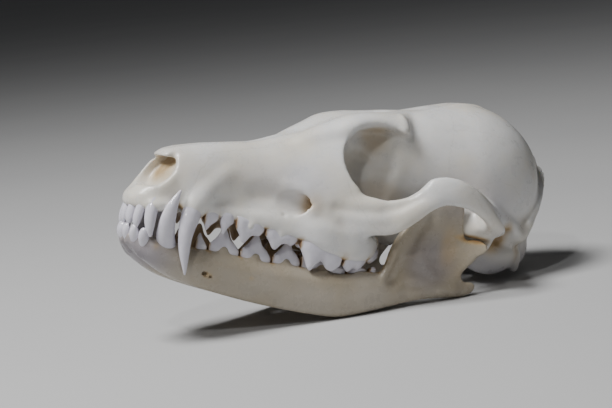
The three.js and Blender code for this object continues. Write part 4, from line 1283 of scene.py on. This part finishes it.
def colour_in(piece):
    """Stores what the materials read at each point."""
    co = folded_points(piece)
    outwards = normals_of(piece)[:, 1] * np.sign(points_of(piece)[:, 1])
    # Painted shade between the cheek teeth, weaker where the surface looks outwards.
    between = spots(co, tooth_gap_shade()) * np.clip(GAP_FADE[0] - outwards, GAP_FADE[1], 1)
    # Stain and painted shade go into one attribute.
    stain_and_shade = np.maximum(spots(co, STAINS_AND_SHADE), between)
    # Painted shade on the faces that look to the midline.
    store(piece, "stain_and_shade", np.maximum(stain_and_shade, tongue_side_shade(piece)))
    # Painted shade in cool grey.
    store(piece, "cool_shade", spots(co, COOL_SHADE_PARTS))
    # How deep each hollow lies, for the painted shade in it.
    store(piece, "hollow", hollows(piece))
    store(piece, "seam", seam_distance(piece))


# Assembly

def finish_piece(piece, node, material):
    colour_in(piece)
    place_on_ground(piece)
    piece.data.materials.clear()
    piece.data.materials.append(material)
    select_only(piece)
    bpy.ops.object.shade_smooth()
    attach(piece, "root")
    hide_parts(node)


def finish_both(piece, node, material):
    """The piece is the right one; the left one is its mirror image."""
    other = mirror_copy(piece, f"left_{piece.name}")
    piece.name = f"right_{piece.name}"
    finish_piece(piece, f"right_{node}", material)
    finish_piece(other, f"left_{node}", material)


finish_piece(make_cranium(), "cranium", bleached_bone)
finish_both(make_jaw_half(), "jaw_half", jaw_bone_with_shade)
for jaw_name, pegs, cheek, way in (
    ("upper", UPPER_PEGS, UPPER_CHEEK, -1),
    ("lower", LOWER_PEGS, LOWER_CHEEK, 1),
):
    for tooth_name, table in pegs.items():
        node = f"{jaw_name}_{tooth_name}"
        finish_both(make_peg_tooth(f"{node}_crown", table), node, tooth_enamel)
    for tooth_name, data in cheek.items():
        node = f"{jaw_name}_{tooth_name}"
        finish_both(make_cheek_tooth(f"{node}_crown", data, way), node, tooth_enamel)
extra = make_cheek_tooth("extra_premolar_crown", EXTRA_PREMOLAR, -1)
mirror(extra)
finish_piece(extra, "left_upper_extra_premolar", tooth_enamel)


# Floor, light and camera

FLOOR_SIZE = 60
AIR_TONE = "#e8eaee"
AIR_STRENGTH = 0.05

# Each lamp: its place, the point it looks at, its side in metres and its power in watts.
LAMPS = {
    "soft_key": ((-0.42, -0.02, 0.8), (0, 0, 0.03), 0.3, 10.5),
    "small_glint": ((-0.5, -0.42, 0.66), (-0.02, 0, 0.03), 0.05, 1.4),
    "soft_fill": ((-0.2, -0.9, 0.4), (0, 0, 0.03), 0.8, 0.1),
}

# In metres, degrees and millimetres.
CAMERA_PLACE = (-0.294755, -0.520016, 0.124459)
CAMERA_TURN = (81.3550, 5.9932, -29.3191)
CAMERA_LENS = 108.79
SENSOR_WIDTH = 36

floor = add_object("studio_floor", bpy.ops.mesh.primitive_plane_add,
                   size=FLOOR_SIZE, location=(0, 0, 0))
floor.data.materials.append(make_floor("painted_board"))

world = bpy.data.worlds.new("studio_air")
bpy.context.scene.world = world
world.use_nodes = True
air = world.node_tree.nodes["Background"]
air.inputs["Color"].default_value = linear(AIR_TONE)
air.inputs["Strength"].default_value = AIR_STRENGTH


def area_light(name, place, aim, size, power):
    light = add_object(name, bpy.ops.object.light_add, type="AREA", location=place)
    light.data.size = size
    light.data.energy = power
    light.rotation_euler = (Vector(aim) - Vector(place)).to_track_quat("-Z", "Y").to_euler()


for lamp_name, settings in LAMPS.items():
    area_light(lamp_name, *settings)

camera_data = bpy.data.cameras.new("camera")
camera_data.lens = CAMERA_LENS
camera_data.sensor_width = SENSOR_WIDTH
camera = bpy.data.objects.new("camera", camera_data)
bpy.context.scene.collection.objects.link(camera)
camera.location = CAMERA_PLACE
camera.rotation_euler = [math.radians(a) for a in CAMERA_TURN]
bpy.context.scene.camera = camera
